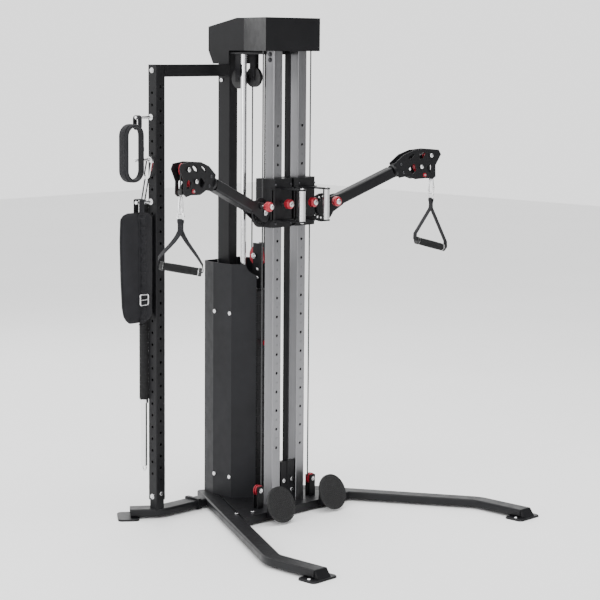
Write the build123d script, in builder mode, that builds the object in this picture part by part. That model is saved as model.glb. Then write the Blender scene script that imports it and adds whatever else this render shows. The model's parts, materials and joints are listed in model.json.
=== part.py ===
"""Functional trainer: two punched columns with height-adjustable arms, a weight stack and an accessory post.

Millimetres, +Z up, floor at Z = 0, mid-plane at X = 0, the user stands on the -Y side.
Every arm-side piece is made twice, once for each side, by a loop.
"""
from build123d import *
from math import atan2, cos, degrees, hypot, radians, sin, tan
import os

os.makedirs("parts", exist_ok=True)

# ---------------------------------------------------------------- driving dimensions
TUBE = 50.8                  # square tube of the columns and the post
WALL = 3.0
HEIGHT = 2140.0              # floor to the top of the head housing
FRONT_Y = 172.5              # front faces of the columns, measured from the middle of the footprint
COLUMN_X = 74.1              # column centres each side of the mid-plane
COLUMN_HOLES = 18
COLUMN_PITCH = 81.6
COLUMN_TOP_HOLE = 1682.0
HOLE_R = 6.0

PAD_T = 8.0                  # foot pads lift the base off the floor
LEG_W, LEG_H = 74.0, 34.0
DECK_Z = PAD_T + LEG_H       # top of the base tubes
LEG_SLOPE = 0.573            # sideways run of the splayed legs for each unit forward
LEG_X_AT_COLUMNS = 337.0     # leg centre line beside the columns' front faces
FOOT_X = 648.0               # centre line of the straight front ends
FOOT_Y = FRONT_Y - 800.0     # front ends of the leg tubes

UPRIGHT_Y = FRONT_Y + 346.0  # front face of the rear upright
UPRIGHT_D = 74.0
POST_X = -470.5              # centre of the accessory post
POST_Y = FRONT_Y + 301.4     # its front face
POST_TOP = 1939.0
POST_HOLES = 34
POST_PITCH = 50.8
POST_TOP_HOLE = 1847.0

STACK_Y = FRONT_Y + 210.0    # centre of the weight stack
PLATE_T = 37.0
PLATE_FRONT, PLATE_BACK, PLATE_HALF = 60.0, 56.0, 94.0
PLATE_PITCH = 38.0
STACK_Z = 102.0              # underside of the lowest plate
PLATES = 22
LIFTED = 6                   # plates above the selector pin
ROD_X, ROD_R = 72.0, 12.7

CABLE_R = 3.0
CABLE_X = 145.0              # vertical cable runs beside the columns
PULLEY_R = 38.0              # cable centre line on the fixed pulleys
AXLE_R = 6.0

CAR_X = (6.5, 135.5)         # carriage box, inner and outer side
CAR_Y = (FRONT_Y - 31.0, FRONT_Y + 70.0)
CAR_Z = (1255.0, 1461.0)
PIN_Z = COLUMN_TOP_HOLE - 4 * COLUMN_PITCH
SHELF_Z = (1284.0, 1419.0)   # plates that hold the pull handle
HANDLE_Y = FRONT_Y - 144.0

PIVOT_X, PIVOT_Y, PIVOT_Z = 190.0, FRONT_Y - 10.0, 1323.0
ARM_YAW = 13.3               # arms point a little forward
ARM_TILT = 21.0              # and up
DISC_R, DISC_T, DISC_RING = 62.0, 8.0, 46.0
ARM_END = 392.0
ARM_W = 48.0
GAP = 0.4                    # free play between pieces that slide on each other


def save(piece, name):
    """Label the finished piece and write it as one STEP file."""
    piece.part.label = name
    export_step(piece.part, f"parts/{name}.step")


def leg_centre_x(y):
    """Half-distance between the splayed leg centre lines at depth y."""
    return LEG_X_AT_COLUMNS + LEG_SLOPE * (FRONT_Y - y)


def leg_edge_x(y, side):
    """Inner (-1) or outer (+1) edge of the splayed legs at depth y."""
    return leg_centre_x(y) + side * LEG_W / 2 * hypot(1, LEG_SLOPE)


# ---------------------------------------------------------------- shared shapes
def prism(outline, plane, amount, mode=Mode.ADD):
    """Extrude a closed outline drawn on a plane."""
    with BuildSketch(plane) as face:
        with BuildLine():
            Polyline(*outline, close=True)
        make_face()
    extrude(face.sketch, amount=amount, mode=mode)


def round_bar(plane, radius, amount, mode=Mode.ADD):
    """Extrude a circle drawn on a plane."""
    with BuildSketch(plane) as face:
        Circle(radius)
    extrude(face.sketch, amount=amount, mode=mode)


def block(plane, width, depth, amount, corner=0.0, mode=Mode.ADD):
    """Extrude a rectangle, with rounded corners if asked, drawn on a plane."""
    with BuildSketch(plane) as face:
        if corner:
            RectangleRounded(width, depth, corner)
        else:
            Rectangle(width, depth)
    extrude(face.sketch, amount=amount, mode=mode)


def wheel(plane, groove_r, width, bore_r=AXLE_R + 0.06):
    """Grooved pulley centred on a plane, turning about the plane's normal."""
    rim = groove_r + 5
    lane = CABLE_R + 0.6
    with BuildSketch(Plane(origin=plane.origin, x_dir=plane.x_dir, z_dir=-plane.y_dir)) as half:
        with BuildLine():
            Line((bore_r, -width / 2), (rim, -width / 2))
            Line((rim, -width / 2), (rim, -lane))
            Line((rim, -lane), (groove_r, -lane))
            ThreePointArc((groove_r, -lane), (groove_r - lane, 0), (groove_r, lane))
            Line((groove_r, lane), (rim, lane))
            Line((rim, lane), (rim, width / 2))
            Line((rim, width / 2), (bore_r, width / 2))
            Line((bore_r, width / 2), (bore_r, -width / 2))
        make_face()
    revolve(half.sketch, axis=Axis(plane.origin, plane.z_dir))


def facing(origin, x_dir, z_dir):
    """Plane from a point and two directions."""
    return Plane(origin=origin, x_dir=x_dir, z_dir=z_dir)


# ---------------------------------------------------------------- base
BEND_Y = FRONT_Y - (FOOT_X - LEG_X_AT_COLUMNS) / LEG_SLOPE
LEG_BACK_Y = UPRIGHT_Y + UPRIGHT_D
TOE_W, TOE_L = 66.0, 26.0

for side, sign in (("left", -1), ("right", 1)):
    with BuildPart() as leg:
        with BuildLine() as leg_path:
            FilletPolyline(
                (sign * leg_centre_x(LEG_BACK_Y), LEG_BACK_Y, PAD_T + LEG_H / 2),
                (sign * FOOT_X, BEND_Y, PAD_T + LEG_H / 2),
                (sign * FOOT_X, FOOT_Y, PAD_T + LEG_H / 2),
                radius=110,
            )
        with BuildSketch(Plane(leg_path.line @ 0, x_dir=(sign, LEG_SLOPE, 0), z_dir=leg_path.line % 0)):
            RectangleRounded(LEG_W, LEG_H, 9)
            RectangleRounded(LEG_W - 2 * WALL, LEG_H - 2 * WALL, 6, mode=Mode.SUBTRACT)
        sweep()
        toe = (
            (FOOT_Y + 1, PAD_T),
            (FOOT_Y + 1, DECK_Z - 1),
            (FOOT_Y - 3, DECK_Z - 1),
            (FOOT_Y - TOE_L, PAD_T),
        )
        prism(toe, Plane.YZ.offset(sign * FOOT_X - TOE_W / 2), TOE_W)
    save(leg, f"{side}_leg")

# Base weldment: front crossmember, rear deck and the brackets of the foot treads.
CROSS_Y = (FRONT_Y - 62.0, FRONT_Y + 60.0)
DECK_T = 5.0
DECK_BACK_Y = LEG_BACK_Y - 30.0
TREAD_X, TREAD_Y, TREAD_Z = 161.0, FRONT_Y - 112.0, 79.0
TREAD_R, TREAD_T, TREAD_LEAN = 78.0, 9.0, 22.0


def tread_plane(x):
    """Back face of a foot tread, leaning away from the user."""
    lean = radians(TREAD_LEAN)
    return Plane(origin=(x, TREAD_Y, TREAD_Z), x_dir=(1, 0, 0), z_dir=(0, -cos(lean), sin(lean)))


with BuildPart() as base_frame:
    with BuildSketch(Plane.XY.offset(PAD_T)):
        with BuildLine():
            Polyline(
                (-leg_edge_x(CROSS_Y[0], -1), CROSS_Y[0]),
                (leg_edge_x(CROSS_Y[0], -1), CROSS_Y[0]),
                (leg_edge_x(CROSS_Y[1], -1), CROSS_Y[1]),
                (-leg_edge_x(CROSS_Y[1], -1), CROSS_Y[1]),
                close=True,
            )
        make_face()
    extrude(amount=LEG_H)
    with BuildSketch(Plane.YZ.offset(-400)):
        with Locations(((CROSS_Y[0] + CROSS_Y[1]) / 2, PAD_T + LEG_H / 2)):
            Rectangle(CROSS_Y[1] - CROSS_Y[0] - 2 * WALL, LEG_H - 2 * WALL)
    extrude(amount=800, mode=Mode.SUBTRACT)
    with BuildSketch(Plane.XY.offset(DECK_Z - DECK_T)):
        with BuildLine():
            Polyline(
                (-leg_edge_x(CROSS_Y[1] - 1, -1), CROSS_Y[1] - 1),
                (leg_edge_x(CROSS_Y[1] - 1, -1), CROSS_Y[1] - 1),
                (leg_edge_x(DECK_BACK_Y, -1), DECK_BACK_Y),
                (-leg_edge_x(DECK_BACK_Y, -1), DECK_BACK_Y),
                close=True,
            )
        make_face()
    extrude(amount=DECK_T)
    with BuildSketch(Plane.XY.offset(PAD_T)):
        for x in (-45, 45):
            with Locations((x, (CROSS_Y[1] + DECK_BACK_Y) / 2)):
                Rectangle(30, DECK_BACK_Y - CROSS_Y[1])
    extrude(amount=LEG_H - DECK_T)
    for x in (-TREAD_X, TREAD_X):
        for rib in (-30, 24):
            with BuildSketch(Plane.YZ.offset(x + rib)):
                with BuildLine():
                    Polyline(
                        (TREAD_Y - 2, TREAD_Z - 50),
                        (CROSS_Y[0] + 1, PAD_T + 8),
                        (CROSS_Y[0] + 1, DECK_Z - 1),
                        (CROSS_Y[0] - 4, TREAD_Z + 30),
                        (TREAD_Y + 26, TREAD_Z + 56),
                        close=True,
                    )
                make_face()
            extrude(amount=6)
    for x in (-TREAD_X, TREAD_X):
        with BuildSketch(tread_plane(x)):
            Rectangle(200, 200)
        extrude(amount=60, mode=Mode.SUBTRACT)
    for x in (-TREAD_X, TREAD_X):
        with BuildSketch(tread_plane(x)):
            Circle(TREAD_R - 8)
        extrude(amount=-5)
save(base_frame, "base_frame")

# Rear leg: runs out under the accessory post, then bends back to its own foot.
REAR_Y = FRONT_Y + 330.0
REAR_W = 78.0
REAR_BEND_X = -452.0
REAR_END = (-552.0, REAR_Y + 78.0)
FLANGE_X = -247.0
with BuildPart() as rear_leg:
    with BuildLine() as rear_path:
        FilletPolyline(
            (-100, REAR_Y, PAD_T + LEG_H / 2),
            (REAR_BEND_X, REAR_Y, PAD_T + LEG_H / 2),
            (REAR_END[0], REAR_END[1], PAD_T + LEG_H / 2),
            radius=80,
        )
    with BuildSketch(Plane(rear_path.line @ 0, x_dir=(0, 1, 0), z_dir=(-1, 0, 0))):
        RectangleRounded(REAR_W, LEG_H, 9)
        RectangleRounded(REAR_W - 2 * WALL, LEG_H - 2 * WALL, 6, mode=Mode.SUBTRACT)
    sweep()
    with BuildSketch(Plane.XY):
        with BuildLine():
            Polyline(
                (-leg_edge_x(REAR_Y - 60, 1), REAR_Y - 60),
                (-leg_edge_x(REAR_Y + 60, 1), REAR_Y + 60),
                (0, REAR_Y + 60),
                (0, REAR_Y - 60),
                close=True,
            )
        make_face()
    extrude(amount=DECK_Z + 10, mode=Mode.SUBTRACT)
    for x in (FLANGE_X, FLANGE_X - 9):
        with BuildSketch(Plane.YZ.offset(x)):
            with Locations((REAR_Y, PAD_T + LEG_H / 2 + 2)):
                RectangleRounded(REAR_W + 12, LEG_H + 12, 6)
        extrude(amount=-7)
    with BuildSketch(Plane.XY.offset(DECK_Z - WALL)):
        with Locations((POST_X, POST_Y + TUBE / 2)):
            Rectangle(TUBE - 2 * WALL - 3, TUBE - 2 * WALL - 3)
    extrude(amount=140)
save(rear_leg, "rear_leg")

# Foot pads under the three leg ends.
PAD_W, PAD_D = 140.0, 92.0
with BuildPart() as foot_pads:
    for x, y, angle in (
        (-FOOT_X, FOOT_Y + 14, 0),
        (FOOT_X, FOOT_Y + 14, 0),
        (REAR_END[0] - 8, REAR_END[1] + 4, degrees(atan2(78, -100)) - 90 + 180),
    ):
        pad_plane = Plane((x, y, 0), x_dir=(cos(radians(angle)), sin(radians(angle)), 0), z_dir=(0, 0, 1))
        with BuildSketch(pad_plane):
            RectangleRounded(PAD_W, PAD_D, 20)
        extrude(amount=PAD_T)
    top_edges = foot_pads.faces().group_by(Axis.Z)[-1].edges()
    chamfer(top_edges, 2.5)
save(foot_pads, "foot_pads")

# Round rubber treads for the user's feet.
with BuildPart() as treads:
    for x in (-TREAD_X, TREAD_X):
        with BuildSketch(tread_plane(x)):
            Circle(TREAD_R)
        extrude(amount=TREAD_T)
save(treads, "foot_treads")

# ---------------------------------------------------------------- columns, upright and head
COLUMN_TOP = 2030.0
with BuildPart() as columns:
    for x in (-COLUMN_X, COLUMN_X):
        with BuildSketch(Plane.XY.offset(DECK_Z)):
            with Locations((x, FRONT_Y + TUBE / 2)):
                RectangleRounded(TUBE, TUBE, 3)
                RectangleRounded(TUBE - 2 * WALL, TUBE - 2 * WALL, 1.5, mode=Mode.SUBTRACT)
        extrude(amount=COLUMN_TOP - DECK_Z)
    with BuildSketch(Plane.XZ.offset(-FRONT_Y)):
        for x in (-COLUMN_X, COLUMN_X):
            for k in range(COLUMN_HOLES):
                with Locations((x, COLUMN_TOP_HOLE - k * COLUMN_PITCH)):
                    Circle(HOLE_R)
    extrude(amount=-WALL - 1, mode=Mode.SUBTRACT)
save(columns, "columns")

UPRIGHT_TOP = 2088.0
with BuildPart() as upright:
    with BuildSketch(Plane.XY.offset(DECK_Z)):
        with Locations((0, UPRIGHT_Y + UPRIGHT_D / 2)):
            RectangleRounded(TUBE, UPRIGHT_D, 5)
            RectangleRounded(TUBE - 2 * WALL, UPRIGHT_D - 2 * WALL, 2.5, mode=Mode.SUBTRACT)
    extrude(amount=UPRIGHT_TOP - DECK_Z)
save(upright, "rear_upright")

# Head frame: the plate that the rods and pulleys hang from, and the beam back to the upright.
HEAD_PLATE_Z = 1984.0
HEAD_PLATE_T = 8.0
BEAM_Z = 2034.0
FRAME_FRONT = FRONT_Y + TUBE + 0.2
FLOAT_Y = FRONT_Y + 191.0    # floating pulley
FLOAT_Z = 1110.0
RUN_Y = (FLOAT_Y - PULLEY_R, FLOAT_Y + PULLEY_R)
with BuildPart() as head_frame:
    with BuildSketch(Plane.XY.offset(HEAD_PLATE_Z)):
        with BuildLine():
            Polyline(
                (-110, FRAME_FRONT),
                (110, FRAME_FRONT),
                (96, FRONT_Y + 190),
                (90, FRONT_Y + 232),
                (68, FRONT_Y + 270),
                (68, UPRIGHT_Y - 0.2),
                (-68, UPRIGHT_Y - 0.2),
                (-68, FRONT_Y + 270),
                (-90, FRONT_Y + 232),
                (-96, FRONT_Y + 190),
                close=True,
            )
        make_face()
        for y in RUN_Y:
            with Locations((0, y)):
                Circle(9, mode=Mode.SUBTRACT)
    extrude(amount=HEAD_PLATE_T)
    for x in (-31, 25):
        with BuildSketch(Plane.YZ.offset(x)):
            with Locations(((FRAME_FRONT + UPRIGHT_Y - 0.2) / 2, BEAM_Z)):
                Rectangle(UPRIGHT_Y - FRAME_FRONT - 0.2, 2 * (BEAM_Z - HEAD_PLATE_Z - HEAD_PLATE_T))
        extrude(amount=6)
    with BuildSketch(Plane.XZ.offset(-FRAME_FRONT)):
        with Locations((0, (HEAD_PLATE_Z + 2040) / 2)):
            Rectangle(220, 2040 - HEAD_PLATE_Z)
    extrude(amount=-6)
save(head_frame, "head_frame")

# Head housing: bent sheet, wide at the front and narrow over the upright.
HOUSING_Z = 1999.0
HOUSING_W, HOUSING_NECK = 165.5, 75.0
HOUSING_Y = (FRONT_Y - 14.5, FRONT_Y + 208.0, FRONT_Y + 429.0)
SHEET = 2.5
with BuildPart() as housing:
    with BuildSketch(Plane.XY.offset(HOUSING_Z)):
        with BuildLine():
            Polyline(
                (-HOUSING_W, HOUSING_Y[0]),
                (HOUSING_W, HOUSING_Y[0]),
                (HOUSING_NECK, HOUSING_Y[1]),
                (HOUSING_NECK, HOUSING_Y[2]),
                (-HOUSING_NECK, HOUSING_Y[2]),
                (-HOUSING_NECK, HOUSING_Y[1]),
                close=True,
            )
        make_face()
    extrude(amount=HEIGHT - HOUSING_Z)
    with BuildSketch(Plane.YZ.offset(-HOUSING_W)):
        with BuildLine():
            Polyline(
                (FRONT_Y + 251, HEIGHT),
                (HOUSING_Y[2], HEIGHT - 38),
                (HOUSING_Y[2] + 10, HEIGHT - 38),
                (HOUSING_Y[2] + 10, HEIGHT + 10),
                (FRONT_Y + 251, HEIGHT + 10),
                close=True,
            )
        make_face()
    extrude(amount=2 * HOUSING_W, mode=Mode.SUBTRACT)
    bottom_face = housing.faces().sort_by(Axis.Z)[0]
    offset(amount=-SHEET, openings=bottom_face)
    for x in (-HOUSING_NECK, HOUSING_NECK - SHEET):
        with BuildSketch(Plane.YZ.offset(x)):
            with BuildLine():
                Polyline(
                    (FRONT_Y + 300, HOUSING_Z + 4),
                    (FRONT_Y + 300, 1942),
                    (FRONT_Y + 400, 1942),
                    (HOUSING_Y[2], HOUSING_Z),
                    (HOUSING_Y[2], HOUSING_Z + 4),
                    close=True,
                )
            make_face()
        extrude(amount=SHEET)
save(housing, "head_housing")

# Side beam: joins the top of the upright to the top of the accessory post.
BEAM_TOP = 1938.8
with BuildPart() as side_beam:
    with BuildSketch(Plane.XY.offset(BEAM_TOP - TUBE)):
        with BuildLine():
            Polyline(
                (POST_X + TUBE / 2, POST_Y),
                (-TUBE / 2, UPRIGHT_Y),
                (-TUBE / 2, UPRIGHT_Y + TUBE),
                (POST_X + TUBE / 2, POST_Y + TUBE),
                close=True,
            )
        make_face()
    extrude(amount=TUBE)
    with BuildSketch(Plane.XY.offset(BEAM_TOP - TUBE + WALL)):
        with BuildLine():
            Polyline(
                (POST_X + TUBE / 2, POST_Y + WALL),
                (-TUBE / 2, UPRIGHT_Y + WALL),
                (-TUBE / 2, UPRIGHT_Y + TUBE - WALL),
                (POST_X + TUBE / 2, POST_Y + TUBE - WALL),
                close=True,
            )
        make_face()
    extrude(amount=TUBE - 2 * WALL, mode=Mode.SUBTRACT)
save(side_beam, "side_beam")

# Accessory post: holes through front and back, and through both sides half a pitch lower.
POST_FOOT = DECK_Z + 38.0
with BuildPart() as post:
    with BuildSketch(Plane.XY.offset(POST_FOOT)):
        with Locations((POST_X, POST_Y + TUBE / 2)):
            RectangleRounded(TUBE, TUBE, 4)
            RectangleRounded(TUBE - 2 * WALL, TUBE - 2 * WALL, 2, mode=Mode.SUBTRACT)
    extrude(amount=POST_TOP - POST_FOOT)
    with BuildSketch(Plane.XZ.offset(-POST_Y + 1)):
        for k in range(POST_HOLES):
            with Locations((POST_X, POST_TOP_HOLE - k * POST_PITCH)):
                Circle(HOLE_R)
    extrude(amount=-TUBE - 2, mode=Mode.SUBTRACT)
    with BuildSketch(Plane.YZ.offset(POST_X - TUBE / 2 - 1)):
        for k in range(POST_HOLES - 1):
            with Locations((POST_Y + TUBE / 2, POST_TOP_HOLE - (k + 0.5) * POST_PITCH)):
                Circle(HOLE_R)
    extrude(amount=TUBE + 2, mode=Mode.SUBTRACT)
save(post, "accessory_post")


# Centre plate between the columns, and the bracket that holds its foot.
with BuildPart() as centre_plate:
    with Locations((0, FRONT_Y + 16, (DECK_Z + HEAD_PLATE_Z + 50) / 2)):
        Box(6, 31, HEAD_PLATE_Z + 50 - DECK_Z)
    with Locations((0, FRONT_Y + 14, DECK_Z + 92)):
        Box(80, 22, 184)
save(centre_plate, "centre_plate")

# ---------------------------------------------------------------- weight stack
RODS = ((-ROD_X, STACK_Y), (ROD_X, STACK_Y))
STEM_R = 11.0
REST_PLATES = PLATES - LIFTED
REST_TOP = STACK_Z + REST_PLATES * PLATE_PITCH
STACK_TOP = STACK_Z + PLATES * PLATE_PITCH

with BuildPart() as guide_rods:
    with Locations(*[(x, y, (DECK_Z + HEAD_PLATE_Z) / 2) for x, y in RODS]):
        Cylinder(ROD_R, HEAD_PLATE_Z - DECK_Z)
save(guide_rods, "guide_rods")

with BuildPart() as cushions:
    with Locations(*[(x, y, (DECK_Z + STACK_Z) / 2) for x, y in RODS]):
        Cylinder(24, STACK_Z - DECK_Z - 0.2)
        Cylinder(ROD_R + 0.2, STACK_Z, mode=Mode.SUBTRACT)
save(cushions, "stack_cushions")


def weight_plate(z, thickness):
    """One plate with clearance bores for the rods and the stem."""
    outline = (
        (-42, -PLATE_FRONT),
        (42, -PLATE_FRONT),
        (PLATE_HALF, 12 - PLATE_FRONT + 38),
        (PLATE_HALF, PLATE_BACK),
        (-PLATE_HALF, PLATE_BACK),
        (-PLATE_HALF, 12 - PLATE_FRONT + 38),
    )
    prism(outline, Plane((0, STACK_Y, z)), thickness)
    for x, y in RODS:
        round_bar(Plane((x, y, z)), ROD_R + 1, thickness, mode=Mode.SUBTRACT)
    round_bar(Plane((0, STACK_Y, z)), STEM_R + 1, thickness, mode=Mode.SUBTRACT)


PIN_R = 4.0
PIN_PLATE_Z = REST_TOP + PLATE_T / 2
FRONT_OF_STACK = STACK_Y - PLATE_FRONT


def pin_hole(z):
    """Hole from the front edge of a plate to its stem bore."""
    with Locations((0, STACK_Y - PLATE_FRONT / 2, z)):
        Cylinder(PIN_R + 0.4, PLATE_FRONT + 2, rotation=(90, 0, 0), mode=Mode.SUBTRACT)


with BuildPart() as rest_plates:
    for k in range(REST_PLATES):
        weight_plate(STACK_Z + k * PLATE_PITCH, PLATE_T)
        pin_hole(STACK_Z + k * PLATE_PITCH + PLATE_T / 2)
save(rest_plates, "rest_plates")

with BuildPart() as lifted_plates:
    for k in range(LIFTED):
        weight_plate(REST_TOP + k * PLATE_PITCH, PLATE_T)
        pin_hole(REST_TOP + k * PLATE_PITCH + PLATE_T / 2)
    weight_plate(STACK_TOP, 22)
save(lifted_plates, "lifted_plates")

STEM_TOP = STACK_TOP + 31.2
STEM_FOOT = STACK_Z + 2
with BuildPart() as stem:
    round_bar(Plane((0, STACK_Y, STEM_FOOT)), STEM_R, STEM_TOP - STEM_FOOT)
    for k in range(PLATES):
        pin_z = STACK_Z + k * PLATE_PITCH + PLATE_T / 2
        with Locations((0, STACK_Y, pin_z)):
            Cylinder(PIN_R + 0.4, 3 * STEM_R, rotation=(90, 0, 0), mode=Mode.SUBTRACT)
    round_bar(Plane((0, STACK_Y, STACK_TOP + 22.2)), 20, 9)
save(stem, "selector_stem")

with BuildPart() as selector_pin:
    pin_plane = Plane((0, STACK_Y - 3, PIN_PLATE_Z), x_dir=(1, 0, 0), z_dir=(0, -1, 0))
    round_bar(pin_plane, PIN_R, PLATE_FRONT + 15)
    round_bar(Plane((0, FRONT_OF_STACK - 6, PIN_PLATE_Z), x_dir=(1, 0, 0), z_dir=(0, -1, 0)), 14, 22)
    chamfer(selector_pin.faces().sort_by(Axis.Y)[0].edges(), 2)
save(selector_pin, "selector_pin")

# Floating block on top of the stem: a clevis that carries the floating pulley.
with BuildPart() as floating_block:
    with Locations((0, (FLOAT_Y + STACK_Y) / 2, STEM_TOP + 12)):
        Box(42, 70, 24)
    for x in (-21, 15):
        with Locations((x + 3, FLOAT_Y - 14, (STEM_TOP + FLOAT_Z + 56) / 2)):
            Box(6, 48, FLOAT_Z + 56 - STEM_TOP)
    with Locations((0, FLOAT_Y, FLOAT_Z)):
        Cylinder(AXLE_R, 54, rotation=(0, 90, 0))
save(floating_block, "floating_block")

with BuildPart() as floating_pulley:
    wheel(facing((0, FLOAT_Y, FLOAT_Z), (0, 1, 0), (1, 0, 0)), PULLEY_R, 20)
save(floating_pulley, "floating_pulley")

RUN_TOP = 2010.0
with BuildPart() as lift_cable:
    for y in RUN_Y:
        round_bar(Plane((0, y, FLOAT_Z + 8)), CABLE_R, RUN_TOP - FLOAT_Z - 8)
save(lift_cable, "lift_cable")

# ---------------------------------------------------------------- fixed pulleys
TOP_PULLEYS = {
    "top_pulley": (-24.0, FRONT_Y + 195.0, 1886.0),
    "rear_pulley": (-45.0, FRONT_Y + 262.0, 1878.0),
}
BASE_PULLEY = (CABLE_X + 18.0, FRONT_Y + 20.0, 120.0)
BASE_R = 18.0
for name, centre in TOP_PULLEYS.items():
    with BuildPart() as top_pulley:
        wheel(facing(centre, (0, 1, 0), (1, 0, 0)), PULLEY_R, 16)
    save(top_pulley, name)

for side, sign in (("left", -1), ("right", 1)):
    with BuildPart() as base_pulley:
        centre = (sign * BASE_PULLEY[0], BASE_PULLEY[1], BASE_PULLEY[2])
        wheel(facing(centre, (1, 0, 0), (0, -1, 0)), BASE_R, 16)
    save(base_pulley, f"{side}_base_pulley")

with BuildPart() as pulley_brackets:
    for x, y, z in TOP_PULLEYS.values():
        for offset_x in (-13, 9):
            with Locations((x + offset_x + 2, y, (z - 14 + HEAD_PLATE_Z) / 2)):
                Box(4, 30, HEAD_PLATE_Z - z + 14)
        with Locations((x, y, z)):
            Cylinder(AXLE_R, 30, rotation=(0, 90, 0))
    for sign in (-1, 1):
        x, y, z = sign * BASE_PULLEY[0], BASE_PULLEY[1], BASE_PULLEY[2]
        for offset_y in (-14, 10):
            with Locations((x, y + offset_y + 2, (DECK_Z + z + 16) / 2)):
                Box(34, 4, z + 16 - DECK_Z)
        with Locations((x, y, z)):
            Cylinder(AXLE_R, 32, rotation=(90, 0, 0))
save(pulley_brackets, "pulley_brackets")

with BuildPart() as side_cables:
    for sign in (-1, 1):
        run = Plane((sign * CABLE_X, BASE_PULLEY[1], BASE_PULLEY[2]))
        round_bar(run, CABLE_R, RUN_TOP - BASE_PULLEY[2])
save(side_cables, "side_cables")

# ---------------------------------------------------------------- shrouds
SHROUD_TOP = 1078.0
SHROUD_T = 2.0
for side, sign in (("left", -1), ("right", 1)):
    with BuildPart() as shroud:
        with BuildSketch(Plane.XY.offset(DECK_Z)):
            with BuildLine():
                path = Polyline(
                    (sign * 28, FRONT_Y + 416),
                    (sign * 105, FRONT_Y + 416),
                    (sign * 130, FRONT_Y + 335),
                    (sign * 130, FRONT_Y + 222),
                    (sign * 53, FRONT_Y + 147),
                )
                offset(path, amount=SHROUD_T / 2, side=Side.BOTH)
            make_face()
        extrude(amount=SHROUD_TOP - DECK_Z)
        with BuildSketch(Plane.XZ.offset(-FRONT_Y - 100)):
            with BuildLine():
                Line((sign * 45, SHROUD_TOP - 50), (sign * 53, SHROUD_TOP - 48))
                ThreePointArc(
                    (sign * 53, SHROUD_TOP - 48),
                    (sign * 72, SHROUD_TOP - 34),
                    (sign * 86, SHROUD_TOP + 1),
                )
                Line((sign * 86, SHROUD_TOP + 1), (sign * 45, SHROUD_TOP + 1))
                Line((sign * 45, SHROUD_TOP + 1), (sign * 45, SHROUD_TOP - 50))
            make_face()
        extrude(amount=-120, mode=Mode.SUBTRACT)
    save(shroud, f"{side}_shroud")

# ---------------------------------------------------------------- carriages, arms and handles
YAW, TILT = radians(ARM_YAW), radians(ARM_TILT)
CAR_C = ((CAR_X[0] + CAR_X[1]) / 2, (CAR_Y[0] + CAR_Y[1]) / 2)
CAR_SIZE = (CAR_X[1] - CAR_X[0], CAR_Y[1] - CAR_Y[0])
HANDLE_R = 14.0
CAR_WALL = 5.0
CAR_CHAMFER = 14.0
SHELF_T = 6.0
SHELF_W = 34.0
KNOB_R, KNOB_L = 21.0, 26.0
KNOB_COLLAR_R = 13.0
KNOB_FILLET = 4.0
PIN_SHAFT_R = 5.6
PIN_BARREL_R = 12.0
CLEVIS_R, CLEVIS_W, CLEVIS_T = 40.0, 19.0, 5.0
HUB_R = 16.0
TILT_AXLE_R = 9.0
PIN_ANGLE = radians(19)
DISC_STEP = 22.5
HEIGHT_PIN_BACK = 9.6         # how far the pulled pin's nose stands back from its seat
ANGLE_PIN_BACK = 11.6
HEAD_U = 402.0
SPINDLE_R = 14.0
PULLEY_A, PULLEY_B = (613.0, -8.0), (545.0, -35.0)
HEAD_R = 20.0
CHEEK_W = 18.0
CHEEK_T = 4.0
CHEEK = (
    (415, 35), (475, 52), (536, 49), (600, 30), (663, 0), (668, -25), (622, -60),
    (605, -108), (585, -112), (560, -97), (495, -75), (460, -45), (415, -35),
)
BALL_R = 12.0
RING_R, RING_WIRE = 15.0, 3.5
WINDOWS = (
    ((486, 22), (500, 34), (524, 37), (530, 30), (512, 20)),
    ((545, 0), (556, 22), (580, 22), (590, 12), (572, -4)),
    ((478, -18), (506, -6), (520, -14), (516, -40), (490, -48)),
    ((572, -48), (592, -40), (604, -56), (590, -84), (574, -70)),
)
STRAP_TURN = {"left": 59.9, "right": 0.0}
STRAP_W = 28.0
GRIP_TILT = {"left": -9.0, "right": 15.0}
GRIP_Z = {"left": 1144.0, "right": 1131.0}
GRIP_R, GRIP_HALF = 16.0, 84.0
STRAP_TOP_Z = 1332.0


def arm_plane(sign, u=0.0, v=0.0, w=0.0):
    """Plane in the arm's own frame: u along the arm, v up across it, w towards the user."""
    along = Vector(sign * cos(YAW) * cos(TILT), -sin(YAW) * cos(TILT), sin(TILT))
    across = Vector(-sign * cos(YAW) * sin(TILT), sin(YAW) * sin(TILT), cos(TILT))
    front = Vector(-sign * sin(YAW), -cos(YAW), 0)
    origin = Vector(sign * PIVOT_X, PIVOT_Y, PIVOT_Z) + along * u + across * v + front * w
    return Plane(origin=origin, x_dir=along, z_dir=front * sign)


def arm_end_plane(sign, u):
    """Plane square to the arm at distance u along it."""
    base = arm_plane(sign, u=u)
    return Plane(origin=base.origin, x_dir=base.z_dir, z_dir=base.x_dir)


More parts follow.
